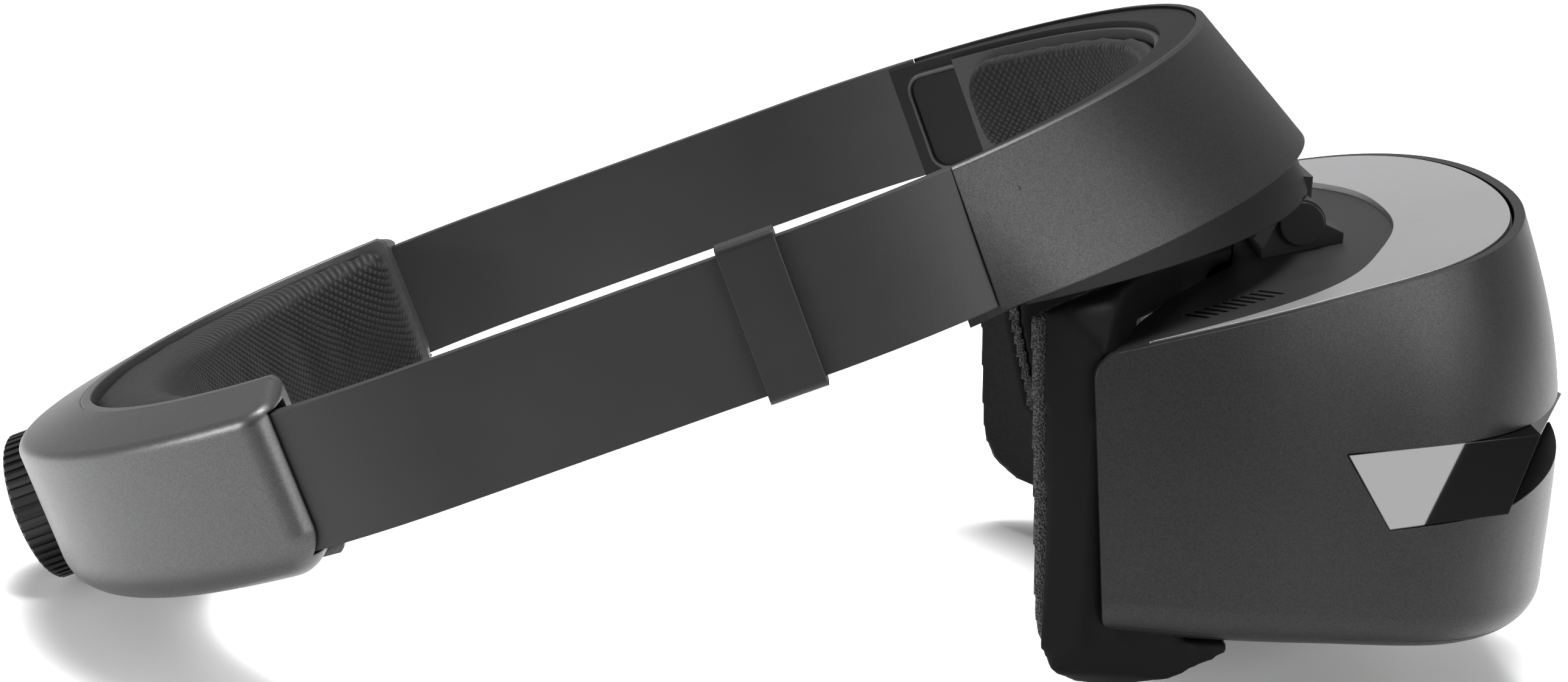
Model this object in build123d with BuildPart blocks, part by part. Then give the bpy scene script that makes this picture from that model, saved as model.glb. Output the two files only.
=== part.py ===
from build123d import *
import os
from math import cos, pi, radians, sin, sqrt, tan

# A virtual reality headset: a rigid halo headband with a size dial, and a visor on a friction hinge.
# +X is the wearer's left, -Y the front, +Z up, and Z = 0 is the floor under the dial's lower rim.
# "Back" and "rise" are measured in the headband's own plane: back from its front edge, rise from
# its upper edge. Millimetres.

os.makedirs("parts", exist_ok=True)

# ---------------------------------------------------------------- clearances
fit_gap = 0.12  # between pieces of one body
move_gap = 0.4  # between pieces that move past each other
shaft_gap = 0.05  # radial, a shaft in its bore or a screw in its hole
tiny = 0.5  # how far a cutter runs past what it cuts
reach = 130.0  # half length of a prism that crosses the whole object
bar_margin = 0.4  # how far a rounding bar's flat sides stand clear of the part it rounds

# ---------------------------------------------------------------- headband
band_pitch = 22.7  # degrees, front edge high
band_front_y = -81.2
band_top_z = 131.72
loop_radius = 92.0  # outside of the loop, at the front shell and the straps
front_center = 92.0  # centre of the loop's front arc
rear_center = 163.0  # centre of the loop's rear arc
shell_wall = 1.6
flare_radius = 88.0  # the front shell's lower rim
flare_center = 76.6
flare_depth = 30.7
seam_back = 58.6  # where the front shell meets the straps
seam_depth = 27.6  # the front shell's height at that seam
rim_chamfer = 0.5
band_liner_radius = 89.2
band_liner_center = 98.7
band_liner_wall = 2.0
band_liner_back = 65.0
band_liner_drop = 0.6
band_liner_depth = 29.0
skirt_inset = 2.6
skirt_top = 28.4
skirt_back = 54.0
skirt_wall = 2.2
skirt_pitch = 12.1  # degrees, its floor
skirt_front_y = -105.1
skirt_front_z = 97.65
pad_plate_thickness = 1.4
pad_plate_back = 50.5
forehead_radius = 82.3  # inner face of the forehead pad
forehead_front = 15.5
forehead_back = 49.5
forehead_round = 8.0
pad_margin = 2.6

# ---------------------------------------------------------------- straps and keeper
strap_thickness = 3.2
strap_height = 26.8
strap_tail_back = 209.0
tongue_length = 14.0
tongue_margin = 3.4
strap_screw_radius = 1.4
strap_screw_head = 2.4
strap_screw_head_length = 1.2
strap_screw_back = 49.6
strap_screw_drops = (8.5, 18.3)
strap_screw_seat_x = 78.5
strap_screw_tip_x = 81.5
strap_boss_radius = 3.0
keeper_width = 11.0
keeper_wall = 1.3
keeper_front = 92.0
keeper_round = 1.2

# ---------------------------------------------------------------- rear housing
housing_radius = 95.8
housing_front = 188.4
housing_rise = 5.2
housing_slope = 10.8  # degrees, how its top falls away from the liner
housing_flat = 4.0  # how far inside the liner's outer face that slope starts
housing_depth = 31.5
housing_wall = 1.6
housing_top_round = 2.4
housing_bottom_round = 9.0
housing_end_round = 5.0
cradle_center = 165.5
cradle_radius = 76.4  # inner face of the rear liner
cradle_wall = 2.1
cradle_round = 3.0
slot_clearance = 0.5
mouth_length = 16.0  # half of it inside the casing
size_travel = 15.0
rear_pad_thickness = 17.0  # in the middle
rear_pad_radius = 80.0
rear_pad_front = 188.6
rear_pad_rise = 3.4
rear_pad_depth = 28.2
rear_pad_round = 5.0

# ---------------------------------------------------------------- size dial and racks
dial_radius = 16.07
dial_thickness = 8.0
dial_rear = 264.9
dial_rib_count = 48
dial_groove_width = 1.1
dial_groove_depth = 0.7
dial_dish_radius = 11.5
dial_dish_depth = 0.9
dial_rim_chamfer = 0.6
dial_pocket_gap = 0.6
dial_seat_wall = 2.4
dial_seat_margin = 5.0
bush_radius = 6.0
bush_flange_radius = 8.0
bush_flange = 1.0
shaft_radius = 3.0
gear_module = 1.0
gear_teeth = 10
gear_front = 246.5
gear_width = 5.0
tooth_share = 0.36  # tooth width over pitch, at the pitch line
tooth_slope = 20.0  # degrees
gear_addendum = 1.0
gear_dedendum = 1.25
rack_outer_reach = 18.0
rack_spare = 5.0
rack_back = 2.6
rack_front = 246.8
rack_width = 3.4
guide_plate = 2.0
guide_wall = 1.7
guide_length = 50.0
guide_half_plate = 34.0
guide_boss_x = 30.0
guide_boss_radius = 2.9
small_screw_radius = 1.2
small_screw_head = 2.3
small_screw_head_length = 1.4
guide_screw_length = 4.6
dial_screw_tip = 1.8  # ahead of the dial's rear face

# ---------------------------------------------------------------- visor body
top_pitch = 14.14  # degrees, front edge high
top_front_y = -148.5
top_front_z = 99.37
rim_side = (
    (85.8, -48.0),
    (84.6, -57.0),
    (80.7, -87.7),
    (75.6, -105.9),
    (68.6, -123.2),
    (55.8, -134.7),
    (36.0, -142.5),
)
rim_turn = (0.0, 0.0, 7.0, 16.0, 37.0, 60.0, 75.5)  # degrees, which way the wall faces at those points
rim_nose_y = -146.4
form_levels = ((106.0, -2.6), (99.3, -0.2), (84.3, 5.3), (64.3, 10.0), (42.0, 10.9), (10.0, 10.9))
side_share = 0.25  # how far the sides stand out, over how far the front does
visor_wall = 2.2
bottom_pitch = 2.9  # degrees, front edge low
bottom_front_y = -150.0
bottom_front_z = 18.05
rear_edge_top_y = -55.0
rear_edge_bottom_y = -60.2
rear_corner_top = 5.0
rear_corner_bottom = 5.0
bottom_round = 7.5
face_margin = 4.0  # between the shell and the rear face of the gasket
plate_groove = 0.6
plate_thickness = 1.2
plate_proud = 0.15
tray_thickness = 2.0
recess_side = ((84.0, -58.0), (80.0, -76.0), (71.0, -95.6), (61.0, -105.4), (46.0, -112.6), (24.0, -119.8))
recess_nose_y = -121.8
lip_side = ((90.0, -56.0), (60.0, -66.0), (40.0, -76.0), (25.0, -88.0))
lip_nose_y = -92.0
vent_count = 9
vent_length = 8.0
vent_width = 0.9
vent_pitch = 2.1
vent_middle = (60.0, -83.5)
vent_turn = 62.0  # degrees, the row's direction in plan
tray_screw_spots = ((30.0, -138.6), (59.0, -127.4))
tray_boss = (7.0, 12.0, 9.0)
recess_rear = (84.0, 30.0)

# ---------------------------------------------------------------- camera window
window_top_rear = (-103.4, 58.75)
window_top_front = (-141.1, 61.85)
window_nose = (-163.25, 54.65)
window_bottom_front = (-136.0, 46.75)
window_bottom_rear = (-112.6, 44.4)
window_half_rear = 81.5
window_half_front = 70.5
window_half_bottom = 72.5
window_wall = 2.0
window_depth = 9.0
scoop_slope = 0.155  # of the overhang above the window, rising forwards
scoop_depth = 6.0
scoop_wall = 2.0

# ---------------------------------------------------------------- gasket and cushion
face_radius = 118.7
face_center_y = 40.7
gasket_side_y = -57.0
gasket_half_width = 85.8
gasket_half_face = 80.4
gasket_front_y = -94.0
gasket_half_front = 78.0
gasket_foot = (
    (-84.5, 19.4),
    (-74.6, 14.6),
    (-67.0, 11.9),
    (-61.0, 11.0),
    (-56.0, 12.0),
    (-51.5, 14.9),
    (-49.0, 19.5),
    (-47.8, 24.0),
)
face_lean = 4.3  # degrees, its top to the rear
face_level_z = 65.0
gasket_outline = (
    (0.0, 87.0),
    (73.0, 87.0),
    (81.0, 84.0),
    (86.5, 76.0),
    (86.5, 23.0),
    (83.0, 15.0),
    (77.0, 11.2),
    (42.0, 11.2),
    (30.0, 14.5),
    (22.0, 22.0),
    (15.0, 33.0),
    (8.0, 42.0),
    (0.0, 44.0),
)
eye_outline = (
    (0.0, 77.6),
    (60.0, 77.6),
    (70.0, 70.0),
    (72.0, 52.0),
    (67.0, 32.0),
    (55.0, 25.0),
    (38.0, 28.0),
    (22.0, 32.0),
    (15.0, 37.5),
    (10.5, 44.0),
    (8.0, 53.0),
    (0.0, 57.0),
)
cushion_thickness = 2.7
cushion_inset = 1.4
skirt_clearance = 1.5

# ---------------------------------------------------------------- visor inside
eye_spacing = 64.0
eye_z = 54.25
frame_rear_y = -82.0
frame_thickness = 2.0
barrel_radius = 23.0
barrel_rear_y = -80.0
barrel_wall = 1.9
lens_thickness = 4.5
lens_ledge = 1.6
display_size = 54.0
display_thickness = 2.0
carrier_front_y = -120.0
carrier_thickness = 2.0
carrier_half_width = 61.0
board_size = (110.0, 50.0)
board_thickness = 1.6
board_gap = 2.4
standoff_radius = 2.5
camera_x = 47.0
camera_z = 53.6
camera_size = (14.0, 7.0, 9.0)
camera_lens_radius = 3.6
camera_lens_length = 4.0
camera_bracket_size = (112.0, 10.0)
camera_bracket_thickness = 1.5
camera_bracket_gap = 4.0
jack_x = 61.0
jack_y = -112.0
jack_radius = 3.6
jack_length = 15.0
jack_bore = 1.78
jack_bore_length = 14.0
socket_x = -40.0
socket_y = -108.0
socket_size = (18.0, 10.0, 10.0)
socket_mouth = (13.0, 5.0)
socket_mouth_depth = 7.0
sensor_radius = 3.0
sensor_z = 70.0
sensor_thickness = 1.0
flap_outline = ((0.0, 42.5), (7.0, 41.0), (13.8, 32.0), (18.0, 25.4), (0.0, 25.4))
flap_thickness = 1.0

# ---------------------------------------------------------------- hinge
hinge_y = -101.5
hinge_z = 92.15
knuckle_radius = 4.8
band_knuckle_half = 11.5
washer_thickness = 0.6
visor_knuckle_half = 24.0
pin_radius = 2.5
cap_radius = 4.4
cap_thickness = 1.2
hinge_foot_front_y = -110.0
hinge_foot_rear_y = -94.0
hinge_foot_height = 2.0
hinge_screw_x = 18.0
hinge_screw_y = -98.0
hinge_screw_length = 6.0
tray_screw_head = 1.0
tray_screw_sink = 0.65
tray_screw_length = 8.0
bracket_half_width = 20.0
bracket_front_y = -98.6
bracket_rear_y = -89.5
bracket_thickness = 1.8
neck_front_y = -105.2
neck_rear_y = -96.4
bracket_screw_x = 15.5
bracket_screw_y = -94.0
bracket_screw_length = 3.4


# ================================================================ planes
band_sin = sin(radians(band_pitch))
band_cos = cos(radians(band_pitch))
band = Plane(origin=(0, band_front_y, band_top_z), x_dir=(1, 0, 0), z_dir=(0, band_sin, band_cos))
band_side = Plane(origin=band.origin, x_dir=band.y_dir, z_dir=(1, 0, 0))
top_plane = Plane(
    origin=(0, top_front_y, top_front_z),
    x_dir=(1, 0, 0),
    z_dir=(0, sin(radians(top_pitch)), cos(radians(top_pitch))),
)
skirt_plane = Plane(
    origin=(0, skirt_front_y, skirt_front_z),
    x_dir=(1, 0, 0),
    z_dir=(0, sin(radians(skirt_pitch)), cos(radians(skirt_pitch))),
)
bottom_plane = Plane(
    origin=(0, bottom_front_y, bottom_front_z),
    x_dir=(1, 0, 0),
    z_dir=(0, -sin(radians(bottom_pitch)), cos(radians(bottom_pitch))),
)
face_axis_plane = Plane(
    origin=(0, face_center_y, face_level_z),
    x_dir=(1, 0, 0),
    z_dir=(0, sin(radians(face_lean)), cos(radians(face_lean))),
)
side_plane = Plane.YZ


def band_cross(back, rise):
    """The plane across the headband at one place: x is X and y points down."""
    return Plane(origin=band.from_local_coords((0, back, rise)), x_dir=(1, 0, 0), z_dir=band.y_dir)


def face_plane(y):
    """The upright plane seen from behind at one y: x is X, y is Z, and its normal is the front."""
    return Plane(origin=(0, y, 0), x_dir=(1, 0, 0), z_dir=(0, -1, 0))


def mirrored(half):
    """A full outline from its +X half: the mirror image first, then the half in reverse order."""
    return [(-x, y) for x, y in half] + [(x, y) for x, y in reversed(half) if x != 0]


def prism(plane, corners):
    """A polygon in a plane, extruded both ways across the object."""
    with BuildPart() as block:
        with BuildSketch(plane):
            Polygon(*corners, align=None)
        extrude(amount=reach, both=True)
    return block.part


# ================================================================ headband
def flare(inset, rise, depth):
    """The front shell's form: it leans out forwards and narrows towards its lower rim."""
    with BuildPart() as form:
        for level in (rise, -depth):
            share = -level / flare_depth
            with BuildSketch(band.offset(level)):
                with Locations((0, front_center + (flare_center - front_center) * share)):
                    Circle(loop_radius + (flare_radius - loop_radius) * share - inset)
        loft()
    return form.part


def loop_prism(radius, center, top, bottom, back):
    """A round prism of the headband between two levels, cut off behind one station."""
    with BuildPart() as block:
        with BuildSketch(band.offset(bottom)):
            with Locations((0, center)):
                Circle(radius)
            with Locations((0, back - reach)):
                Rectangle(2 * reach, 2 * reach, mode=Mode.INTERSECT)
        extrude(amount=top - bottom)
    return block.part


def rounded_bar(middle_back, top, bottom, radius):
    """A bar right across the headband, two reaches long, that rounds the corners of what it is met with."""
    with BuildPart() as bar:
        with BuildSketch(band_side):
            with Locations((middle_back, (top + bottom) / 2)):
                RectangleRounded(2 * reach, top - bottom + 2 * bar_margin, radius)
        extrude(amount=reach, both=True)
    return bar.part


def strap_screw_cut(radius, from_x, to_x):
    """The four strap screws' cylinders, mirrored on both sides."""
    with BuildPart() as cuts:
        with BuildSketch(band_side.offset(from_x), band_side.offset(-to_x)):
            with Locations(*[(strap_screw_back, -drop) for drop in strap_screw_drops]):
                Circle(radius)
        extrude(amount=to_x - from_x)
    return cuts.part


strap_inner = loop_radius - strap_thickness
tongue_outer = loop_radius - shell_wall - fit_gap
band_liner_outer = band_liner_radius + band_liner_wall

with BuildPart() as strap_bosses:
    add(strap_screw_cut(strap_boss_radius, strap_screw_seat_x, flare_radius))
    add(flare(shell_wall / 2, 0, flare_depth), mode=Mode.INTERSECT)
    add(loop_prism(tongue_outer + fit_gap, front_center, tiny, -flare_depth, reach), mode=Mode.SUBTRACT)

with BuildPart() as front_band_shell:
    add(flare(0, 0, flare_depth))
    add(flare(shell_wall, tiny, flare_depth + tiny), mode=Mode.SUBTRACT)
    lower_slope = (flare_depth - seam_depth) / (seam_back - flare_center + flare_radius)
    front_rim_back = flare_center - flare_radius
    add(
        prism(
            band_side,
            [
                (front_rim_back - tiny, tiny),
                (seam_back, tiny),
                (seam_back, -seam_depth),
                (front_rim_back - tiny, -flare_depth - lower_slope * tiny),
            ],
        ),
        mode=Mode.INTERSECT,
    )
    upper_edges = front_band_shell.edges().group_by(Axis(band.origin, band.z_dir))[-1]
    chamfer(upper_edges.sort_by(SortBy.LENGTH)[-1], rim_chamfer)
    add(strap_bosses.part)
    pilot = strap_screw_radius + shaft_gap
    add(strap_screw_cut(pilot, strap_screw_seat_x, strap_screw_tip_x + tiny / 2), mode=Mode.SUBTRACT)
front_band_shell.part.label = "front_band_shell"
export_step(front_band_shell.part, "parts/front_band_shell.step")

with BuildPart() as front_band_liner:
    liner_top = -band_liner_drop
    liner_bottom = -band_liner_depth
    add(loop_prism(band_liner_outer, band_liner_center, liner_top, liner_bottom, band_liner_back))
    add(loop_prism(strap_inner - fit_gap, front_center, tiny, -reach, reach), mode=Mode.INTERSECT)
    web_bottom = liner_top - band_liner_wall
    add(loop_prism(tongue_outer, front_center, liner_top, web_bottom, seam_back - fit_gap))
    add(loop_prism(band_liner_radius, band_liner_center, tiny, -reach, reach), mode=Mode.SUBTRACT)
    add(
        strap_screw_cut(
            strap_screw_head + move_gap,
            strap_screw_seat_x - strap_screw_head_length - move_gap,
            strap_screw_tip_x,
        ),
        mode=Mode.SUBTRACT,
    )
front_band_liner.part.label = "front_band_liner"
export_step(front_band_liner.part, "parts/front_band_liner.step")


def hinge_cylinder(radius, from_x, to_x):
    """A cylinder on the hinge's axis."""
    with BuildPart() as cylinder:
        with BuildSketch(side_plane.offset(from_x)):
            with Locations((hinge_y, hinge_z)):
                Circle(radius)
        extrude(amount=to_x - from_x)
    return cylinder.part


def neck(gap):
    """The bracket's neck from the band's knuckle up through the skirt's floor."""
    with BuildPart() as block:
        with BuildSketch(side_plane):
            neck_top = skirt_front_z + skirt_wall
            Polygon(
                (neck_front_y - gap, hinge_z - gap),
                (neck_rear_y + gap, hinge_z - gap),
                (neck_rear_y + gap, neck_top),
                (neck_front_y - gap, neck_top),
                align=None,
            )
        extrude(amount=band_knuckle_half + gap, both=True)
    return block.part


skirt_outer = flare_radius - skirt_inset
with BuildPart() as lower_skirt:
    add(loop_prism(skirt_outer, flare_center, -skirt_top, -reach / 2, skirt_back))
    split(bisect_by=skirt_plane, keep=Keep.TOP)
    add(loop_prism(band_liner_radius, band_liner_center, tiny, -reach, reach), mode=Mode.SUBTRACT)
    add(
        loop_prism(band_liner_outer + fit_gap, band_liner_center, tiny, -band_liner_depth, reach),
        mode=Mode.SUBTRACT,
    )
    with BuildPart(mode=Mode.PRIVATE) as skirt_hollow:
        add(loop_prism(skirt_outer - skirt_wall, flare_center, tiny, -reach, reach))
        add(loop_prism(band_liner_outer, band_liner_center, tiny, -reach, reach), mode=Mode.SUBTRACT)
        split(bisect_by=skirt_plane.offset(skirt_wall), keep=Keep.TOP)
    add(skirt_hollow.part, mode=Mode.SUBTRACT)
    add(neck(fit_gap), mode=Mode.SUBTRACT)
    with Locations((bracket_screw_x, bracket_screw_y, hinge_z), (-bracket_screw_x, bracket_screw_y, hinge_z)):
        Cylinder(small_screw_radius + shaft_gap, 4 * knuckle_radius, mode=Mode.SUBTRACT)
    relief = visor_knuckle_half + cap_thickness + move_gap
    add(hinge_cylinder(knuckle_radius + move_gap, -relief, relief), mode=Mode.SUBTRACT)
lower_skirt.part.label = "lower_skirt"
export_step(lower_skirt.part, "parts/lower_skirt.step")

pad_plate_outer = band_liner_radius - fit_gap
with BuildPart() as forehead_pad_plate:
    plate_top = -band_liner_drop - pad_margin / 2
    plate_bottom = -band_liner_depth + pad_margin / 2
    add(loop_prism(pad_plate_outer, band_liner_center, plate_top, plate_bottom, pad_plate_back))
    add(
        loop_prism(pad_plate_outer - pad_plate_thickness, band_liner_center, tiny, -reach, reach),
        mode=Mode.SUBTRACT,
    )
forehead_pad_plate.part.label = "forehead_pad_plate"
export_step(forehead_pad_plate.part, "parts/forehead_pad_plate.step")

with BuildPart() as forehead_pad:
    pad_top = -band_liner_drop - pad_margin
    pad_bottom = -band_liner_depth + pad_margin
    pad_outer = pad_plate_outer - pad_plate_thickness
    add(loop_prism(pad_outer, band_liner_center, pad_top, pad_bottom, forehead_back + tiny))
    add(
        loop_prism(forehead_radius, forehead_front + forehead_radius, tiny, -reach, reach),
        mode=Mode.SUBTRACT,
    )
    add(rounded_bar(forehead_back - reach, pad_top, pad_bottom, forehead_round), mode=Mode.INTERSECT)
forehead_pad.part.label = "forehead_pad"
export_step(forehead_pad.part, "parts/forehead_pad.step")


def loop_plan(radius, mode=Mode.ADD):
    """The headband's loop in plan: straight sides between the front and the rear arcs."""
    with Locations((0, (front_center + rear_center) / 2)):
        SlotCenterToCenter(rear_center - front_center, 2 * radius, rotation=90, mode=mode)


def strap(side):
    """A side strap with its thinner tongue for the front shell."""
    with BuildPart() as piece:
        with BuildSketch(band.offset(-strap_height)):
            loop_plan(loop_radius)
            loop_plan(strap_inner, mode=Mode.SUBTRACT)
            with Locations((side * reach / 2, (seam_back + fit_gap + strap_tail_back) / 2)):
                Rectangle(reach, strap_tail_back - seam_back - fit_gap, mode=Mode.INTERSECT)
        extrude(amount=strap_height)
        with BuildSketch(band.offset(tongue_margin - strap_height)):
            with Locations((0, front_center)):
                Circle(tongue_outer)
                Circle(strap_inner, mode=Mode.SUBTRACT)
            with Locations((side * reach / 2, seam_back + fit_gap + (tiny - tongue_length) / 2)):
                Rectangle(reach, tongue_length + tiny, mode=Mode.INTERSECT)
        extrude(amount=strap_height - 2 * tongue_margin)
        add(strap_screw_cut(pilot, strap_inner / 2, strap_screw_tip_x), mode=Mode.SUBTRACT)
        head_clearance = strap_screw_head + fit_gap
        add(strap_screw_cut(head_clearance, strap_inner / 2, strap_screw_seat_x), mode=Mode.SUBTRACT)
    return piece.part


for strap_name, strap_side in (("strap_left", 1), ("strap_right", -1)):
    strap_part = strap(strap_side)
    strap_part.label = strap_name
    export_step(strap_part, f"parts/{strap_name}.step")

with BuildPart() as strap_screws:
    add(strap_screw_cut(strap_screw_head, strap_screw_seat_x - strap_screw_head_length, strap_screw_seat_x))
    add(strap_screw_cut(strap_screw_radius, strap_screw_seat_x - tiny, strap_screw_tip_x))
strap_screws.part.label = "strap_screws"
export_step(strap_screws.part, "parts/strap_screws.step")

with BuildPart() as cable_keeper:
    keeper_center = (-(loop_radius + strap_inner) / 2, strap_height / 2)
    with BuildSketch(band_cross(keeper_front, 0)):
        with Locations(keeper_center):
            keeper_grow = 2 * (move_gap + keeper_wall)
            Rectangle(strap_thickness + keeper_grow, strap_height + keeper_grow)
    extrude(amount=keeper_width)
    fillet(cable_keeper.edges().filter_by(Axis(band.origin, band.y_dir)), keeper_round)
    with BuildSketch(band_cross(keeper_front, 0)):
        with Locations(keeper_center):
            Rectangle(strap_thickness + 2 * move_gap, strap_height + 2 * move_gap)
    extrude(amount=keeper_width, mode=Mode.SUBTRACT)
cable_keeper.part.label = "cable_keeper"
export_step(cable_keeper.part, "parts/cable_keeper.step")

# ================================================================ rear housing
dial_drop = (band_top_z - dial_rear * band_sin) / band_cos - dial_radius  # its lower rim is on the floor
cradle_outer = cradle_radius + cradle_wall


def housing_form(inset):
    """The housing's outer form, drawn in by inset: a rounded D whose top falls away from the liner."""
    with BuildPart() as form:
        with BuildSketch(band.offset(inset - housing_depth)):
            with Locations((0, rear_center)):
                Circle(housing_radius - inset)
            with Locations((0, housing_front + inset + reach / 2)):
                Rectangle(2 * reach, reach, mode=Mode.INTERSECT)
        extrude(amount=housing_rise + housing_depth - 2 * inset)
        up = Axis(band.origin, band.z_dir)
        fillet(form.edges().filter_by(up), housing_end_round)
        fillet(form.edges().group_by(up)[0], housing_bottom_round - inset)
        with BuildPart(mode=Mode.PRIVATE) as cone:
            with BuildSketch(band.offset(housing_rise - inset)):
                with Locations((0, cradle_center)):
                    Circle(cradle_outer - housing_flat)
            extrude(amount=-housing_rise - housing_depth, taper=housing_slope - 90)
        add(cone.part, mode=Mode.INTERSECT)
        upper = form.edges().filter_by(lambda edge: band.to_local_coords(edge.center()).Z > -housing_rise)
        fillet(upper.filter_by(GeomType.CIRCLE, reverse=True), housing_top_round - inset)
    return form.part


def cradle_prism(radius):
    """A round prism on the liner's axis."""
    with BuildPart() as block:
        with BuildSketch(band):
            with Locations((0, cradle_center)):
                Circle(radius)
        extrude(amount=reach, both=True)
    return block.part


def dial_cylinder(radius, front, rear, x=0.0):
    """A cylinder beside or on the dial's axis, between two stations."""
    with BuildPart() as cylinder:
        with BuildSketch(band_cross(front, -dial_drop)):
            with Locations((x, 0)):
                Circle(radius)
        extrude(amount=rear - front)
    return cylinder.part


dial_front = dial_rear - dial_thickness
pocket_floor = dial_front - move_gap
seat_front = pocket_floor - dial_seat_wall
mouth_full = housing_front + housing_wall + size_travel
mouth_inner = sqrt(strap_inner**2 - (mouth_full - rear_center) ** 2) - slot_clearance
guide_boss_front = rack_front - move_gap
screw_hole = small_screw_radius + shaft_gap

with BuildPart() as housing_inside:
    add(dial_cylinder(dial_radius + dial_pocket_gap + dial_seat_margin, seat_front, dial_rear))
    for boss_x in (-guide_boss_x, guide_boss_x):
        add(dial_cylinder(guide_boss_radius, guide_boss_front, dial_rear, boss_x))
    add(housing_form(housing_wall / 2), mode=Mode.INTERSECT)

with BuildPart() as rear_casing:
    add(housing_form(0))
    add(housing_form(housing_wall), mode=Mode.SUBTRACT)
    add(cradle_prism(cradle_outer + fit_gap), mode=Mode.SUBTRACT)
    with BuildSketch(band.offset(slot_clearance)):
        with Locations((0, rear_center)):
            Circle(loop_radius + slot_clearance)
        with Locations((0, housing_front)):
            Rectangle(2 * reach, mouth_length, mode=Mode.INTERSECT)
            Rectangle(2 * mouth_inner, mouth_length, mode=Mode.SUBTRACT)
    extrude(amount=-strap_height - 2 * slot_clearance, mode=Mode.SUBTRACT)
    add(housing_inside.part)
    add(dial_cylinder(dial_radius + dial_pocket_gap, pocket_floor, dial_rear), mode=Mode.SUBTRACT)
    add(dial_cylinder(bush_radius + fit_gap, seat_front - tiny, dial_rear), mode=Mode.SUBTRACT)
    guide_screw_tip = guide_boss_front + guide_screw_length
    for boss_x in (-guide_boss_x, guide_boss_x):
        add(
            dial_cylinder(screw_hole, guide_boss_front - tiny, guide_screw_tip, boss_x),
            mode=Mode.SUBTRACT,
        )
rear_casing.part.label = "rear_casing"
export_step(rear_casing.part, "parts/rear_casing.step")

with BuildPart() as rear_liner:
    with BuildSketch(band.offset(fit_gap - housing_depth)):
        with Locations((0, cradle_center)):
            Circle(cradle_outer)
            Circle(cradle_radius, mode=Mode.SUBTRACT)
        with Locations((0, housing_front + reach / 2)):
            Rectangle(2 * reach, reach, mode=Mode.INTERSECT)
    rim_rise = housing_rise - housing_flat * tan(radians(housing_slope))
    extrude(amount=rim_rise + housing_depth - fit_gap)
    liner_middle = housing_front + fit_gap + reach
    add(rounded_bar(liner_middle, rim_rise, fit_gap - housing_depth, cradle_round), mode=Mode.INTERSECT)
rear_liner.part.label = "rear_liner"
export_step(rear_liner.part, "parts/rear_liner.step")

with BuildPart() as rear_pad:
    with BuildSketch(band.offset(-rear_pad_depth)):
        pad_face_back = cradle_center + cradle_radius - rear_pad_thickness
        with Locations((0, cradle_center)):
            Circle(cradle_radius - fit_gap)
        with Locations((0, pad_face_back - rear_pad_radius)):
            Circle(rear_pad_radius, mode=Mode.SUBTRACT)
        with Locations((0, rear_pad_front + reach / 2)):
            Rectangle(2 * reach, reach, mode=Mode.INTERSECT)
    extrude(amount=rear_pad_rise + rear_pad_depth)
    pad_rims = rear_pad.edges().filter_by(lambda edge: edge.geom_type == GeomType.CIRCLE)
    fillet(pad_rims.filter_by(lambda edge: abs(edge.radius - rear_pad_radius) < tiny), rear_pad_round)
rear_pad.part.label = "rear_pad"
export_step(rear_pad.part, "parts/rear_pad.step")

# ================================================================ size dial and racks
pitch_radius = gear_module * gear_teeth / 2
tooth_pitch = pi * gear_module
rack_root = pitch_radius + gear_dedendum
rack_top = rack_root + rack_back


def tooth(base, tip):
    """A tooth's corners about the pitch line: half widths at base and tip, measured from that line."""
    half = tooth_share * tooth_pitch / 2
    slope = tan(radians(tooth_slope))
    return half + base * slope, half - tip * slope


def rack(side):
    """The toothed end of a strap. The left one runs above the pinion, the right one below."""
    wide, narrow = tooth(gear_dedendum, gear_addendum)
    inner_reach = size_travel + rack_spare
    with BuildPart() as piece:
        with BuildSketch(band_cross(rack_front, -dial_drop)):
            with Locations((side * (rack_outer_reach - inner_reach) / 2, -side * (rack_root + rack_top) / 2)):
                Rectangle(rack_outer_reach + inner_reach, rack_back)
            for count in range(-int(inner_reach / tooth_pitch), int(rack_outer_reach / tooth_pitch) + 1):
                middle = side * count * tooth_pitch
                Polygon(
                    (middle - wide, -side * (rack_root + tiny)),
                    (middle - wide, -side * rack_root),
                    (middle - narrow, -side * (pitch_radius - gear_addendum)),
                    (middle + narrow, -side * (pitch_radius - gear_addendum)),
                    (middle + wide, -side * rack_root),
                    (middle + wide, -side * (rack_root + tiny)),
                    align=None,
                )
        extrude(amount=rack_width)
    return piece.part


for rack_name, rack_side in (("rack_left", 1), ("rack_right", -1)):
    rack_part = rack(rack_side)
    rack_part.label = rack_name
    export_step(rack_part, f"parts/{rack_name}.step")

with BuildPart() as dial_pinion:
    gear_root = pitch_radius - gear_dedendum
    gear_tip = pitch_radius + gear_addendum
    gear_wide, gear_narrow = tooth(gear_dedendum, gear_addendum)
    with BuildSketch(band_cross(gear_front, -dial_drop)):
        Circle(gear_root)
        with PolarLocations(0, gear_teeth):
            Polygon(
                (gear_root - tiny, -gear_wide),
                (gear_tip, -gear_narrow),
                (gear_tip, gear_narrow),
                (gear_root - tiny, gear_wide),
                align=None,
            )
    extrude(amount=gear_width)
    add(dial_cylinder(shaft_radius, gear_front, (dial_front + dial_rear) / 2))
    dial_screw_seat = gear_front + small_screw_head_length
    add(
        dial_cylinder(small_screw_head + shaft_gap, gear_front - tiny, dial_screw_seat),
        mode=Mode.SUBTRACT,
    )
    add(dial_cylinder(screw_hole, gear_front, dial_rear), mode=Mode.SUBTRACT)
dial_pinion.part.label = "dial_pinion"
export_step(dial_pinion.part, "parts/dial_pinion.step")

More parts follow.
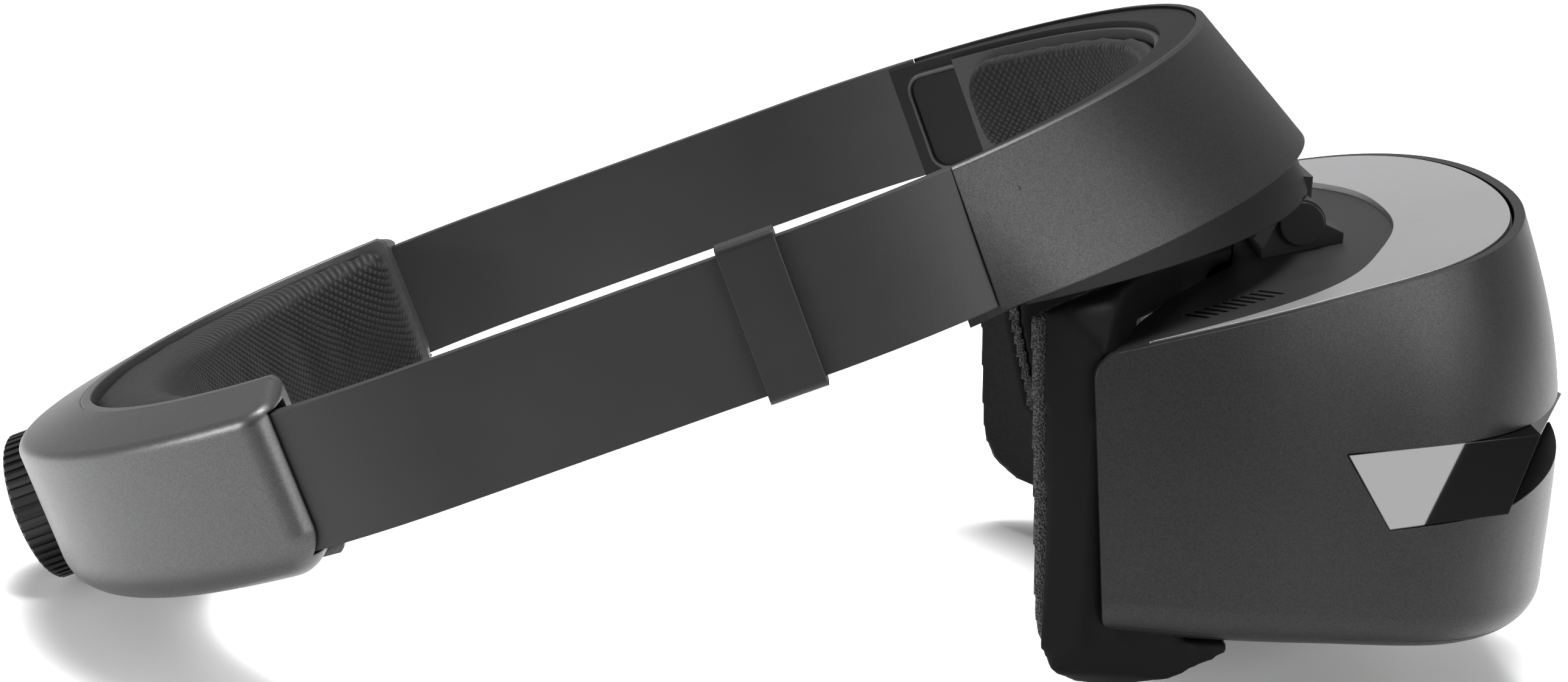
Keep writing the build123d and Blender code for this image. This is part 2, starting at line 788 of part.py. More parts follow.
with BuildPart() as dial_screw:
    add(dial_cylinder(small_screw_head, gear_front, dial_screw_seat))
    add(dial_cylinder(small_screw_radius, gear_front, dial_rear - dial_screw_tip))
dial_screw.part.label = "dial_screw"
export_step(dial_screw.part, "parts/dial_screw.step")

with BuildPart() as dial_bush:
    add(dial_cylinder(bush_radius, seat_front - bush_flange, pocket_floor))
    add(dial_cylinder(bush_flange_radius, seat_front - bush_flange, seat_front))
    add(dial_cylinder(shaft_radius + shaft_gap, gear_front, dial_rear), mode=Mode.SUBTRACT)
dial_bush.part.label = "dial_bush"
export_step(dial_bush.part, "parts/dial_bush.step")

with BuildPart() as size_dial:
    with BuildSketch(band_cross(dial_front, -dial_drop)):
        Circle(dial_radius)
    extrude(amount=dial_thickness)
    chamfer(size_dial.edges().group_by(Axis(band.origin, band.y_dir))[-1], dial_rim_chamfer)
    with BuildSketch(band_cross(dial_front, -dial_drop)):
        with PolarLocations(dial_radius, dial_rib_count, start_angle=180 / dial_rib_count):
            Rectangle(2 * dial_groove_depth, dial_groove_width)
    extrude(amount=dial_thickness, mode=Mode.SUBTRACT)
    with BuildSketch(band_cross(dial_rear - dial_dish_depth, -dial_drop)):
        Circle(dial_dish_radius)
    extrude(amount=dial_dish_depth, mode=Mode.SUBTRACT)
    shaft_end = (dial_front + dial_rear) / 2
    add(dial_cylinder(shaft_radius + shaft_gap, dial_front, shaft_end), mode=Mode.SUBTRACT)
    add(dial_cylinder(screw_hole, dial_front, dial_rear - dial_screw_tip), mode=Mode.SUBTRACT)
size_dial.part.label = "size_dial"
export_step(size_dial.part, "parts/size_dial.step")

with BuildPart() as adjuster_base:
    guide_half_height = rack_top + fit_gap + guide_wall
    with BuildSketch(band_cross(guide_boss_front - guide_plate, -dial_drop)):
        Rectangle(guide_length, 2 * guide_half_height)
        Rectangle(2 * guide_half_plate, 2 * guide_boss_radius)
    extrude(amount=guide_plate)
    with BuildSketch(band_cross(guide_boss_front, -dial_drop)):
        ledge_middle = guide_half_height - guide_wall / 2
        with Locations((0, ledge_middle), (0, -ledge_middle)):
            Rectangle(guide_length, guide_wall)
    extrude(amount=rack_width + move_gap)
    for boss_x in (-guide_boss_x, guide_boss_x):
        add(
            dial_cylinder(screw_hole, gear_front - 2 * guide_plate, guide_boss_front, boss_x),
            mode=Mode.SUBTRACT,
        )
adjuster_base.part.label = "adjuster_base"
export_step(adjuster_base.part, "parts/adjuster_base.step")

with BuildPart() as adjuster_screws:
    screw_seat = guide_boss_front - guide_plate
    for boss_x in (-guide_boss_x, guide_boss_x):
        add(dial_cylinder(small_screw_head, screw_seat - small_screw_head_length, screw_seat, boss_x))
        add(dial_cylinder(small_screw_radius, screw_seat, guide_screw_tip - tiny, boss_x))
adjuster_screws.part.label = "adjuster_screws"
export_step(adjuster_screws.part, "parts/adjuster_screws.step")


# ================================================================ visor body
def floor_height(y):
    """The height of the visor's lower plane at one y."""
    return bottom_front_z + tan(radians(bottom_pitch)) * (y - bottom_front_y)


def bulge_at(z):
    """How far the front stands out of its upper outline at one height."""
    for (upper_z, upper_bulge), (lower_z, lower_bulge) in zip(form_levels, form_levels[1:]):
        if z >= lower_z:
            return lower_bulge + (upper_bulge - lower_bulge) * (z - lower_z) / (upper_z - lower_z)
    return form_levels[-1][1]


def top_height(y):
    """The height of the visor's upper plane at one y."""
    return top_front_z - tan(radians(top_pitch)) * (y - top_front_y)


def rim_points(inset, z=None):
    """The visor's outline in plan, drawn in by inset, at one height or along its upper plane."""
    half = []
    for (x, y), turn in zip(rim_side, rim_turn):
        bulge = bulge_at(top_height(y) if z is None else z)
        out = bulge * (side_share + (1 - side_share) * sin(radians(turn))) - inset
        half.append((x + cos(radians(turn)) * out, y - sin(radians(turn)) * out))
    nose = bulge_at(top_height(rim_nose_y) if z is None else z) - inset
    return half + [(0.0, rim_nose_y - nose)]


def outline_face(half, z):
    """A level face from the +X half of an outline that starts at the rear and ends at the nose."""
    points = mirrored(half)
    with BuildSketch(Plane.XY.offset(z)) as plan:
        with BuildLine():
            Spline(*points)
            Line(points[-1], points[0])
        make_face()
    return plan.sketch.face()


def visor_form(inset):
    """The visor's walls without its ends, drawn in by inset."""
    with BuildPart() as form:
        loft(sections=[outline_face(rim_points(inset, level), level) for level, _ in form_levels])
    return form.part


def visor_profile():
    """The visor's side outline: its upper plane, its lower plane and its leaning rear edge."""
    with BuildPart() as block:
        with BuildSketch(side_plane):
            front_y = rim_nose_y - 3 * form_levels[-1][1]
            Polygon(
                (front_y, top_height(front_y)),
                (front_y, floor_height(front_y)),
                (rear_edge_bottom_y, floor_height(rear_edge_bottom_y)),
                (rear_edge_top_y, top_height(rear_edge_top_y)),
                align=None,
            )
        extrude(amount=reach, both=True)
        rear_edges = block.edges().filter_by(Axis.X).group_by(Axis.Y)[-2:]
        fillet(rear_edges[1], rear_corner_top)
        fillet(rear_edges[0], rear_corner_bottom)
    return block.part


def facet(first, second, third):
    """The plane through three points, with its normal towards the first one's side."""
    normal = (Vector(*second) - Vector(*first)).cross(Vector(*third) - Vector(*first)).normalized()
    if normal.X * first[0] < 0:
        normal = -normal
    return Plane(origin=first, z_dir=normal)


def window_bar(inset):
    """The camera window's side outline, drawn in by inset, right across the visor."""
    with BuildPart() as bar:
        with BuildSketch(side_plane):
            Polygon(
                window_top_rear,
                window_top_front,
                window_nose,
                window_bottom_front,
                window_bottom_rear,
                align=None,
            )
            if inset:
                offset(amount=-inset, kind=Kind.INTERSECTION, mode=Mode.REPLACE)
        extrude(amount=reach, both=True)
    return bar.part


def window_form(inset):
    """The camera window's faceted form, drawn in by inset."""
    with BuildPart() as form:
        add(window_bar(inset))
        for side in (1, -1):
            top_corner = (side * window_half_front, *window_top_front)
            low_corner = (side * window_half_bottom, *window_bottom_front)
            rear_corner = (side * window_half_rear, *window_top_rear)
            nose = (0, *window_nose)
            for plane in (facet(top_corner, low_corner, nose), facet(top_corner, low_corner, rear_corner)):
                split(bisect_by=plane.offset(-inset), keep=Keep.BOTTOM)
    return form.part


def scoop(grow):
    """The space above and around the window's front, between the overhang and the lower body."""
    lower_slope = (window_nose[1] - window_bottom_front[1]) / (window_nose[0] - window_bottom_front[0])
    ahead = window_nose[0] - 4 * scoop_depth
    with BuildPart() as block:
        with BuildSketch(side_plane):
            Polygon(
                (window_top_front[0] + grow, window_top_front[1] + grow),
                (ahead, window_top_front[1] + grow + scoop_slope * (window_top_front[0] - ahead)),
                (ahead, window_bottom_front[1] - grow + lower_slope * (ahead - window_bottom_front[0])),
                (window_bottom_front[0] + grow, window_bottom_front[1] - grow),
                align=None,
            )
        extrude(amount=window_half_front - scoop_wall + grow, both=True)
    return block.part


def plan_prism(half, closing_y):
    """An upright prism from the +X half of an outline, closed far behind."""
    full = mirrored(half)
    return prism(Plane.XY, full + [(full[-1][0], closing_y), (full[0][0], closing_y)])


def slab(plane, top, bottom):
    """A thick layer parallel to a plane."""
    with BuildPart() as block:
        with BuildSketch(plane.offset(bottom)):
            Rectangle(4 * reach, 4 * reach)
        extrude(amount=top - bottom)
    return block.part


def below(plane, depth):
    """Everything under a level of a plane."""
    return slab(plane, -depth, -2 * reach)


def behind_lip(gap):
    """Everything behind the front edge of the gasket's upper lip."""
    half = [(x, y - gap) for x, y in lip_side] + [(0.0, lip_nose_y - gap)]
    return plan_prism(half, reach)


def upright_cylinders(spots, radius, top_depth, bottom_depth):
    """Upright cylinders on both sides, between two depths under the visor's upper plane."""
    with BuildPart() as cylinders:
        for x, y in spots:
            for side in (-1, 1):
                with Locations((side * x, y, top_height(y) - (top_depth + bottom_depth) / 2)):
                    Cylinder(radius, bottom_depth - top_depth)
    return cylinders.part


plate_bottom = plate_thickness - plate_proud
tray_bottom = plate_bottom + tray_thickness
outer_form = visor_form(0)
inner_form = visor_form(visor_wall)
close_form = visor_form(visor_wall + fit_gap)

with BuildPart() as cavity:
    add(inner_form)
    add(slab(bottom_plane, 2 * reach, visor_wall), mode=Mode.INTERSECT)

with BuildPart() as visor_shell:
    add(outer_form)
    split(bisect_by=bottom_plane, keep=Keep.TOP)
    lower_edges = visor_shell.faces().sort_by(Axis.Z)[0].edges()
    fillet(lower_edges.filter_by(GeomType.LINE, reverse=True), bottom_round)
    add(visor_profile(), mode=Mode.INTERSECT)
    add(cavity.part, mode=Mode.SUBTRACT)
    with BuildPart(mode=Mode.PRIVATE) as tray_bosses:
        for boss_x, boss_y in tray_screw_spots:
            boss_z = top_height(boss_y) - tray_bottom - tray_boss[2] / 2
            with Locations((boss_x, boss_y, boss_z), (-boss_x, boss_y, boss_z)):
                Box(*tray_boss)
        add(visor_form(visor_wall / 2), mode=Mode.INTERSECT)
        add(below(top_plane, tray_bottom), mode=Mode.INTERSECT)
    add(tray_bosses.part)
    with BuildPart(mode=Mode.PRIVATE) as scoop_walls:
        add(scoop(scoop_wall))
        add(visor_form(visor_wall / 2), mode=Mode.INTERSECT)
        add(visor_form(scoop_depth + scoop_wall), mode=Mode.SUBTRACT)
    add(scoop_walls.part)
    with BuildPart(mode=Mode.PRIVATE) as scoop_space:
        add(scoop(0))
        add(visor_form(scoop_depth), mode=Mode.SUBTRACT)
    add(scoop_space.part, mode=Mode.SUBTRACT)
    tray_screw_room = tray_bottom + tray_screw_length
    add(upright_cylinders(tray_screw_spots, screw_hole, 0, tray_screw_room), mode=Mode.SUBTRACT)
    add(window_bar(-fit_gap), mode=Mode.SUBTRACT)
    with BuildSketch(face_axis_plane):
        Circle(face_radius + face_margin)
    extrude(amount=reach, both=True, mode=Mode.SUBTRACT)
    with Locations((jack_x, jack_y, floor_height(jack_y))):
        Cylinder(jack_radius + fit_gap, 4 * visor_wall, mode=Mode.SUBTRACT)
    with Locations((socket_x, socket_y, floor_height(socket_y))):
        socket_cut = (socket_size[0] + 2 * fit_gap, socket_size[1] + 2 * fit_gap, 4 * visor_wall)
        Box(*socket_cut, mode=Mode.SUBTRACT)
visor_shell.part.label = "visor_shell"
export_step(visor_shell.part, "parts/visor_shell.step")


def rim_prism(inset):
    """An upright prism along the visor's outline at its upper plane."""
    face = outline_face(rim_points(inset), 0)
    with BuildPart() as block:
        extrude(face, amount=reach)
    return block.part


foot_spots = ((hinge_screw_x, hinge_screw_y),)
recess_half = [recess_rear, *recess_side, (0.0, recess_nose_y)]
with BuildPart() as top_plate:
    add(rim_prism(visor_wall + plate_groove))
    add(slab(top_plane, plate_proud, -plate_bottom), mode=Mode.INTERSECT)
    with BuildPart(mode=Mode.PRIVATE) as recess:
        extrude(outline_face(recess_half, 0), amount=reach)
    add(recess.part, mode=Mode.SUBTRACT)
top_plate.part.label = "top_plate"
export_step(top_plate.part, "parts/top_plate.step")

with BuildPart() as top_tray:
    add(rim_prism(visor_wall + fit_gap))
    add(slab(top_plane, -plate_bottom, -tray_bottom), mode=Mode.INTERSECT)
    add(behind_lip(0), mode=Mode.SUBTRACT)
    with BuildPart(mode=Mode.PRIVATE) as vents:
        with BuildSketch(Plane.XY):
            for side in (1, -1):
                for count in range(vent_count):
                    step = (count - (vent_count - 1) / 2) * vent_pitch
                    turn = radians(vent_turn)
                    spot = (side * (vent_middle[0] + step * cos(turn)), vent_middle[1] + step * sin(turn))
                    with Locations(Location(spot, (0, 0, -side * (90 - vent_turn)))):
                        SlotOverall(vent_length, vent_width)
        extrude(amount=reach)
    add(vents.part, mode=Mode.SUBTRACT)
    head_hole = small_screw_head + fit_gap
    head_seat = plate_bottom + tray_screw_sink + tray_screw_head
    add(upright_cylinders(tray_screw_spots, head_hole, 0, head_seat), mode=Mode.SUBTRACT)
    add(upright_cylinders(tray_screw_spots, screw_hole, 0, 2 * tray_bottom), mode=Mode.SUBTRACT)
    add(upright_cylinders(foot_spots, screw_hole, 0, 2 * tray_bottom), mode=Mode.SUBTRACT)
top_tray.part.label = "top_tray"
export_step(top_tray.part, "parts/top_tray.step")

with BuildPart() as camera_window:
    add(window_form(0))
    add(window_form(window_wall), mode=Mode.SUBTRACT)
    deep = window_depth
    add(
        prism(
            Plane.XY,
            mirrored(
                (
                    (window_half_rear - deep, window_top_rear[0]),
                    (window_half_front - deep, window_top_front[0] + deep / 2),
                    (0.0, window_nose[0] + 2 * deep),
                )
            )
            + [(window_half_rear - deep, reach), (deep - window_half_rear, reach)],
        ),
        mode=Mode.SUBTRACT,
    )
camera_window.part.label = "camera_window"
export_step(camera_window.part, "parts/camera_window.step")

# ================================================================ gasket and cushion
def rear_view_prism(half):
    """An outline seen from behind, extruded through the object."""
    with BuildPart() as block:
        with BuildSketch(face_plane(0)):
            Polygon(*mirrored(half), align=None)
        extrude(amount=2 * reach, both=True)
    return block.part


def before_face(gap):
    """The space ahead of the wearer's face: outside a leaning round prism."""
    with BuildPart() as block:
        with BuildSketch(face_axis_plane):
            with Locations((0, -reach)):
                Rectangle(2 * reach, 2 * reach)
            Circle(face_radius - gap, mode=Mode.SUBTRACT)
        extrude(amount=reach, both=True)
    return block.part


def eye_cylinder(radius, front_y, rear_y, side=1):
    """A cylinder on one eye's axis."""
    with BuildPart() as cylinder:
        with BuildSketch(face_plane(rear_y)):
            with Locations((side * eye_spacing / 2, eye_z)):
                Circle(radius)
        extrude(amount=rear_y - front_y)
    return cylinder.part


def above_foot(gap):
    """The space above the gasket's rounded foot, seen from the side."""
    with BuildPart() as block:
        with BuildSketch(side_plane):
            Polygon(
                *[(y, z + gap) for y, z in gasket_foot],
                (gasket_foot[-1][0] + reach, gasket_foot[-1][1] + gap),
                (gasket_foot[-1][0] + reach, reach),
                (gasket_foot[0][0], reach),
                align=None,
            )
        extrude(amount=reach, both=True)
    return block.part


with BuildPart() as visor_block:
    add(visor_form(-fit_gap))
    add(visor_profile(), mode=Mode.INTERSECT)

with BuildPart() as gasket_room:
    add(close_form)
    add(slab(bottom_plane, 2 * reach, visor_wall + fit_gap), mode=Mode.INTERSECT)
    with Locations((0, frame_rear_y + fit_gap + reach, 0)):
        Box(2 * reach, 2 * reach, 4 * reach, mode=Mode.INTERSECT)

with BuildPart() as face_gasket:
    gasket_plan = (
        (gasket_half_face, 0.0),
        (gasket_half_face, face_center_y - sqrt(face_radius**2 - gasket_half_face**2)),
        (gasket_half_width, gasket_side_y),
        (gasket_half_front, gasket_front_y),
    )
    with BuildSketch(Plane.XY.offset(-reach)):
        Polygon(*mirrored(gasket_plan), align=None)
    extrude(amount=3 * reach)
    add(before_face(0), mode=Mode.INTERSECT)
    add(rear_view_prism(gasket_outline), mode=Mode.INTERSECT)
    add(rear_view_prism(eye_outline), mode=Mode.SUBTRACT)
    add(below(skirt_plane, skirt_clearance), mode=Mode.INTERSECT)
    with BuildPart(mode=Mode.PRIVATE) as occupied:
        add(visor_block.part)
        add(gasket_room.part, mode=Mode.SUBTRACT)
    add(occupied.part, mode=Mode.SUBTRACT)
    with BuildPart(mode=Mode.PRIVATE) as tray_room:
        add(slab(top_plane, 2 * reach, -tray_bottom - fit_gap))
        add(behind_lip(-fit_gap), mode=Mode.SUBTRACT)
    add(tray_room.part, mode=Mode.SUBTRACT)
    with BuildPart(mode=Mode.PRIVATE) as foot_room:
        add(above_foot(0))
        with BuildSketch(side_plane):
            Polygon(
                (gasket_front_y, reach),
                (gasket_foot[0][0], reach),
                (gasket_foot[0][0], eye_z),
                (gasket_front_y, eye_z),
                align=None,
            )
        extrude(amount=reach, both=True)
    add(foot_room.part, mode=Mode.INTERSECT)
    for side in (1, -1):
        barrel_room = eye_cylinder(barrel_radius + move_gap, gasket_front_y, barrel_rear_y + tiny, side)
        add(barrel_room, mode=Mode.SUBTRACT)
face_gasket.part.label = "face_gasket"
export_step(face_gasket.part, "parts/face_gasket.step")

with BuildPart() as face_cushion:
    add(rear_view_prism(gasket_outline))
    with Locations((0, gasket_side_y, 0)):
        Box(2 * (gasket_half_face - cushion_inset), reach, 4 * reach, mode=Mode.INTERSECT)
    add(rear_view_prism(eye_outline), mode=Mode.SUBTRACT)
    add(before_face(cushion_thickness + fit_gap), mode=Mode.INTERSECT)
    add(before_face(fit_gap), mode=Mode.SUBTRACT)
    add(below(skirt_plane, skirt_clearance + cushion_inset), mode=Mode.INTERSECT)
    add(above_foot(cushion_inset), mode=Mode.INTERSECT)
face_cushion.part.label = "face_cushion"
export_step(face_cushion.part, "parts/face_cushion.step")

# ================================================================ visor inside
def visor_layer(front_y, thickness):
    """A plate across the visor's cavity, closed by its walls, its floor and the tray."""
    with BuildPart() as layer:
        with Locations((0, front_y + thickness / 2, eye_z)):
            Box(4 * reach, thickness, 4 * reach)
        add(close_form, mode=Mode.INTERSECT)
        add(slab(bottom_plane, 2 * reach, visor_wall + fit_gap), mode=Mode.INTERSECT)
        add(below(top_plane, tray_bottom + fit_gap), mode=Mode.INTERSECT)
    return layer.part


frame_front_y = frame_rear_y - frame_thickness
with BuildPart() as inner_frame:
    add(visor_layer(frame_front_y, frame_thickness))
    for side in (1, -1):
        barrel_hole = eye_cylinder(barrel_radius + fit_gap, frame_front_y - tiny, frame_rear_y + tiny, side)
        add(barrel_hole, mode=Mode.SUBTRACT)
inner_frame.part.label = "inner_frame"
export_step(inner_frame.part, "parts/inner_frame.step")

carrier_rear_y = carrier_front_y + carrier_thickness
display_rear_y = carrier_rear_y + display_thickness
lens_front_y = barrel_rear_y - lens_thickness
lens_seat = barrel_radius - barrel_wall
board_rear_y = carrier_front_y - board_gap
board_front_y = board_rear_y - board_thickness
camera_rear_y = board_front_y - camera_bracket_gap - camera_bracket_thickness
for side_name, side in (("left", 1), ("right", -1)):
    with BuildPart() as lens_barrel:
        add(eye_cylinder(barrel_radius, display_rear_y, barrel_rear_y, side))
        add(eye_cylinder(barrel_radius + barrel_wall, frame_front_y - barrel_wall, frame_front_y, side))
        light_path = eye_cylinder(lens_seat - lens_ledge, display_rear_y - tiny, barrel_rear_y, side)
        add(light_path, mode=Mode.SUBTRACT)
        add(eye_cylinder(lens_seat, lens_front_y, barrel_rear_y + tiny, side), mode=Mode.SUBTRACT)
    lens_barrel.part.label = f"lens_barrel_{side_name}"
    export_step(lens_barrel.part, f"parts/lens_barrel_{side_name}.step")

    with BuildPart() as lens:
        add(eye_cylinder(lens_seat - shaft_gap, lens_front_y, barrel_rear_y - tiny, side))
    lens.part.label = f"lens_{side_name}"
    export_step(lens.part, f"parts/lens_{side_name}.step")

    with BuildPart() as display:
        with Locations((side * eye_spacing / 2, (carrier_rear_y + display_rear_y) / 2, eye_z)):
            Box(display_size, display_thickness, display_size)
    display.part.label = f"display_{side_name}"
    export_step(display.part, f"parts/display_{side_name}.step")

    with BuildPart() as camera:
        with Locations((side * camera_x, camera_rear_y - camera_size[1] / 2, camera_z)):
            Box(*camera_size)
        with BuildSketch(face_plane(camera_rear_y - camera_size[1])):
            with Locations((side * camera_x, camera_z)):
                Circle(camera_lens_radius)
        extrude(amount=camera_lens_length)
    camera.part.label = f"camera_{side_name}"
    export_step(camera.part, f"parts/camera_{side_name}.step")

with BuildPart() as display_carrier:
    add(visor_layer(carrier_front_y, carrier_thickness))
    with Locations((0, carrier_front_y, eye_z)):
        Box(2 * carrier_half_width, 2 * reach, 2 * reach, mode=Mode.INTERSECT)
    with BuildSketch(face_plane(carrier_front_y)):
        with GridLocations(board_size[0] - 4 * standoff_radius, board_size[1] - 4 * standoff_radius, 2, 2):
            with Locations((0, eye_z)):
                Circle(standoff_radius)
    extrude(amount=board_gap)
display_carrier.part.label = "display_carrier"
export_step(display_carrier.part, "parts/display_carrier.step")

with BuildPart() as main_board:
    with Locations((0, (board_front_y + board_rear_y) / 2, eye_z)):
        Box(board_size[0], board_thickness, board_size[1])
main_board.part.label = "main_board"
export_step(main_board.part, "parts/main_board.step")

with BuildPart() as camera_bracket:
    with Locations((0, camera_rear_y + camera_bracket_thickness / 2, camera_z)):
        Box(camera_bracket_size[0], camera_bracket_thickness, camera_bracket_size[1])
    with BuildSketch(face_plane(board_front_y)):
        with Locations((-eye_spacing / 2, camera_z), (eye_spacing / 2, camera_z)):
            Circle(standoff_radius)
    extrude(amount=camera_bracket_gap)
camera_bracket.part.label = "camera_bracket"
export_step(camera_bracket.part, "parts/camera_bracket.step")

with BuildPart() as sensor_window:
    with BuildSketch(face_plane(frame_rear_y + sensor_thickness)):
        with Locations((0, sensor_z)):
            Circle(sensor_radius)
    extrude(amount=sensor_thickness)
sensor_window.part.label = "sensor_window"
export_step(sensor_window.part, "parts/sensor_window.step")

with BuildPart() as nose_flap:
    with BuildSketch(face_plane(frame_rear_y + flap_thickness)):
        Polygon(*mirrored(flap_outline), align=None)
    extrude(amount=flap_thickness)
nose_flap.part.label = "nose_flap"
export_step(nose_flap.part, "parts/nose_flap.step")

with BuildPart() as headphone_jack:
    jack_foot = floor_height(jack_y)
    with Locations((jack_x, jack_y, jack_foot + jack_length / 2)):
        Cylinder(jack_radius, jack_length)
    with Locations((jack_x, jack_y, jack_foot + jack_bore_length / 2)):
        Cylinder(jack_bore, jack_bore_length, mode=Mode.SUBTRACT)
headphone_jack.part.label = "headphone_jack"
export_step(headphone_jack.part, "parts/headphone_jack.step")

with BuildPart() as cable_socket:
    socket_foot = floor_height(socket_y) + socket_size[1] / 2 * tan(radians(bottom_pitch))
    with Locations((socket_x, socket_y, socket_foot + socket_size[2] / 2)):
        Box(*socket_size)
    with Locations((socket_x, socket_y, socket_foot + socket_mouth_depth / 2)):
        Box(socket_mouth[0], socket_mouth[1], socket_mouth_depth, mode=Mode.SUBTRACT)
cable_socket.part.label = "cable_socket"
export_step(cable_socket.part, "parts/cable_socket.step")

# ================================================================ hinge
washer_outer = band_knuckle_half + washer_thickness + 2 * fit_gap
pin_bore = pin_radius + shaft_gap

with BuildPart() as hinge_base:
    with BuildSketch(side_plane.offset(washer_outer)):
        foot_rise = hinge_foot_height - plate_bottom
        Polygon(
            (hinge_foot_front_y, top_height(hinge_foot_front_y) + foot_rise),
            (hinge_foot_front_y, top_height(hinge_foot_front_y) - tray_bottom),
            (hinge_foot_rear_y, top_height(hinge_foot_rear_y) - tray_bottom),
            (hinge_foot_rear_y, top_height(hinge_foot_rear_y) + foot_rise),
            (hinge_y + knuckle_radius, hinge_z),
            (hinge_y - knuckle_radius, hinge_z),
            align=None,
        )
    extrude(amount=visor_knuckle_half - washer_outer)
    mirror(about=Plane.YZ)
    with BuildSketch(side_plane):
        Polygon(
            (hinge_foot_front_y, top_height(hinge_foot_front_y) + foot_rise),
            (hinge_foot_front_y, top_height(hinge_foot_front_y) - tray_bottom),
            (hinge_foot_rear_y, top_height(hinge_foot_rear_y) - tray_bottom),
            (hinge_foot_rear_y, top_height(hinge_foot_rear_y) + foot_rise),
            align=None,
        )
    extrude(amount=washer_outer, both=True)
    add(hinge_cylinder(knuckle_radius + move_gap, -washer_outer, washer_outer), mode=Mode.SUBTRACT)
    add(hinge_cylinder(knuckle_radius, washer_outer, visor_knuckle_half))
    add(hinge_cylinder(knuckle_radius, -visor_knuckle_half, -washer_outer))
    add(below(top_plane, plate_bottom), mode=Mode.SUBTRACT)
    add(hinge_cylinder(pin_bore, -reach, reach), mode=Mode.SUBTRACT)
    foot_screw_tip = tray_bottom - hinge_screw_length
    add(upright_cylinders(foot_spots, screw_hole, foot_screw_tip - tiny, tray_bottom), mode=Mode.SUBTRACT)
hinge_base.part.label = "hinge_base"
export_step(hinge_base.part, "parts/hinge_base.step")

with BuildPart() as hinge_pin:
    add(hinge_cylinder(pin_radius, -visor_knuckle_half, visor_knuckle_half))
hinge_pin.part.label = "hinge_pin"
export_step(hinge_pin.part, "parts/hinge_pin.step")

with BuildPart() as hinge_caps:
    add(hinge_cylinder(cap_radius, visor_knuckle_half, visor_knuckle_half + cap_thickness))
    add(hinge_cylinder(cap_radius, -visor_knuckle_half - cap_thickness, -visor_knuckle_half))
hinge_caps.part.label = "hinge_caps"
export_step(hinge_caps.part, "parts/hinge_caps.step")

with BuildPart() as friction_washers:
    add(hinge_cylinder(cap_radius, washer_outer - washer_thickness, washer_outer))
    add(hinge_cylinder(cap_radius, -washer_outer, washer_thickness - washer_outer))
    add(hinge_cylinder(pin_bore, -reach, reach), mode=Mode.SUBTRACT)
friction_washers.part.label = "friction_washers"
export_step(friction_washers.part, "parts/friction_washers.step")

with BuildPart() as hinge_bracket:
    add(slab(skirt_plane, skirt_wall + bracket_thickness, skirt_wall))
    with Locations((0, (bracket_front_y + bracket_rear_y) / 2, hinge_z)):
        Box(2 * bracket_half_width, bracket_rear_y - bracket_front_y, 4 * knuckle_radius, mode=Mode.INTERSECT)
    add(neck(0))
    add(hinge_cylinder(knuckle_radius, -band_knuckle_half, band_knuckle_half))
    add(hinge_cylinder(pin_bore, -reach, reach), mode=Mode.SUBTRACT)
    with Locations((bracket_screw_x, bracket_screw_y, hinge_z), (-bracket_screw_x, bracket_screw_y, hinge_z)):
        Cylinder(screw_hole, 4 * knuckle_radius, mode=Mode.SUBTRACT)
hinge_bracket.part.label = "hinge_bracket"
export_step(hinge_bracket.part, "parts/hinge_bracket.step")

with BuildPart() as bracket_screws:
    bracket_drop = tan(radians(skirt_pitch)) * (bracket_screw_y - skirt_front_y)
    bracket_stack = (skirt_wall + bracket_thickness) / cos(radians(skirt_pitch))
    bracket_seat = skirt_front_z - bracket_drop + bracket_stack + tiny
    for screw_x in (-bracket_screw_x, bracket_screw_x):
        with Locations((screw_x, bracket_screw_y, bracket_seat + small_screw_head_length / 2)):
            Cylinder(small_screw_head, small_screw_head_length)
        with Locations((screw_x, bracket_screw_y, bracket_seat - bracket_screw_length / 2)):
            Cylinder(small_screw_radius, bracket_screw_length)
bracket_screws.part.label = "bracket_screws"
export_step(bracket_screws.part, "parts/bracket_screws.step")

with BuildPart() as visor_screws:
    shank_bottom = tray_bottom + tray_screw_length - tiny
    add(upright_cylinders(tray_screw_spots, small_screw_head, head_seat - tray_screw_head, head_seat))
    add(upright_cylinders(tray_screw_spots, small_screw_radius, head_seat, shank_bottom))
    foot_head_top = tray_bottom + tray_screw_sink
    add(upright_cylinders(foot_spots, small_screw_head, foot_head_top, foot_head_top + tray_screw_head))
    add(upright_cylinders(foot_spots, small_screw_radius, foot_screw_tip, foot_head_top))
visor_screws.part.label = "visor_screws"
export_step(visor_screws.part, "parts/visor_screws.step")
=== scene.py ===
from math import cos, hypot, pi, radians, sin

import bmesh
import bpy
from mathutils import Matrix, Quaternion, Vector


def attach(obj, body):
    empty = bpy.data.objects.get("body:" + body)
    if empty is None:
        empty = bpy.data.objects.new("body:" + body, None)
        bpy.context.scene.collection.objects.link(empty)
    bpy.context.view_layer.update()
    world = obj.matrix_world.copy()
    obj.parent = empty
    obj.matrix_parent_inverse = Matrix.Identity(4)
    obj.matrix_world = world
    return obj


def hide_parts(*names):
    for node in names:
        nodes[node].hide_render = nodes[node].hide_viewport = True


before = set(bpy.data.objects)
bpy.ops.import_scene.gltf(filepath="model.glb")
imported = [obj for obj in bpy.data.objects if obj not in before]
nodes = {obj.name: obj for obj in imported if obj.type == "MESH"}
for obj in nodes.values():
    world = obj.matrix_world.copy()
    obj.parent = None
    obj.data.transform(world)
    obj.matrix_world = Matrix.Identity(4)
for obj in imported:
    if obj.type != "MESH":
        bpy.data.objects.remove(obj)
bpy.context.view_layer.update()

# Metres, in the same frame as the CAD. "Back" and "rise" are measured in the headband's own plane.
BAND_PITCH = radians(22.7)
BAND_FRONT = Vector((0, -0.0812, 0.13172))
BACK = Vector((0, cos(BAND_PITCH), -sin(BAND_PITCH)))
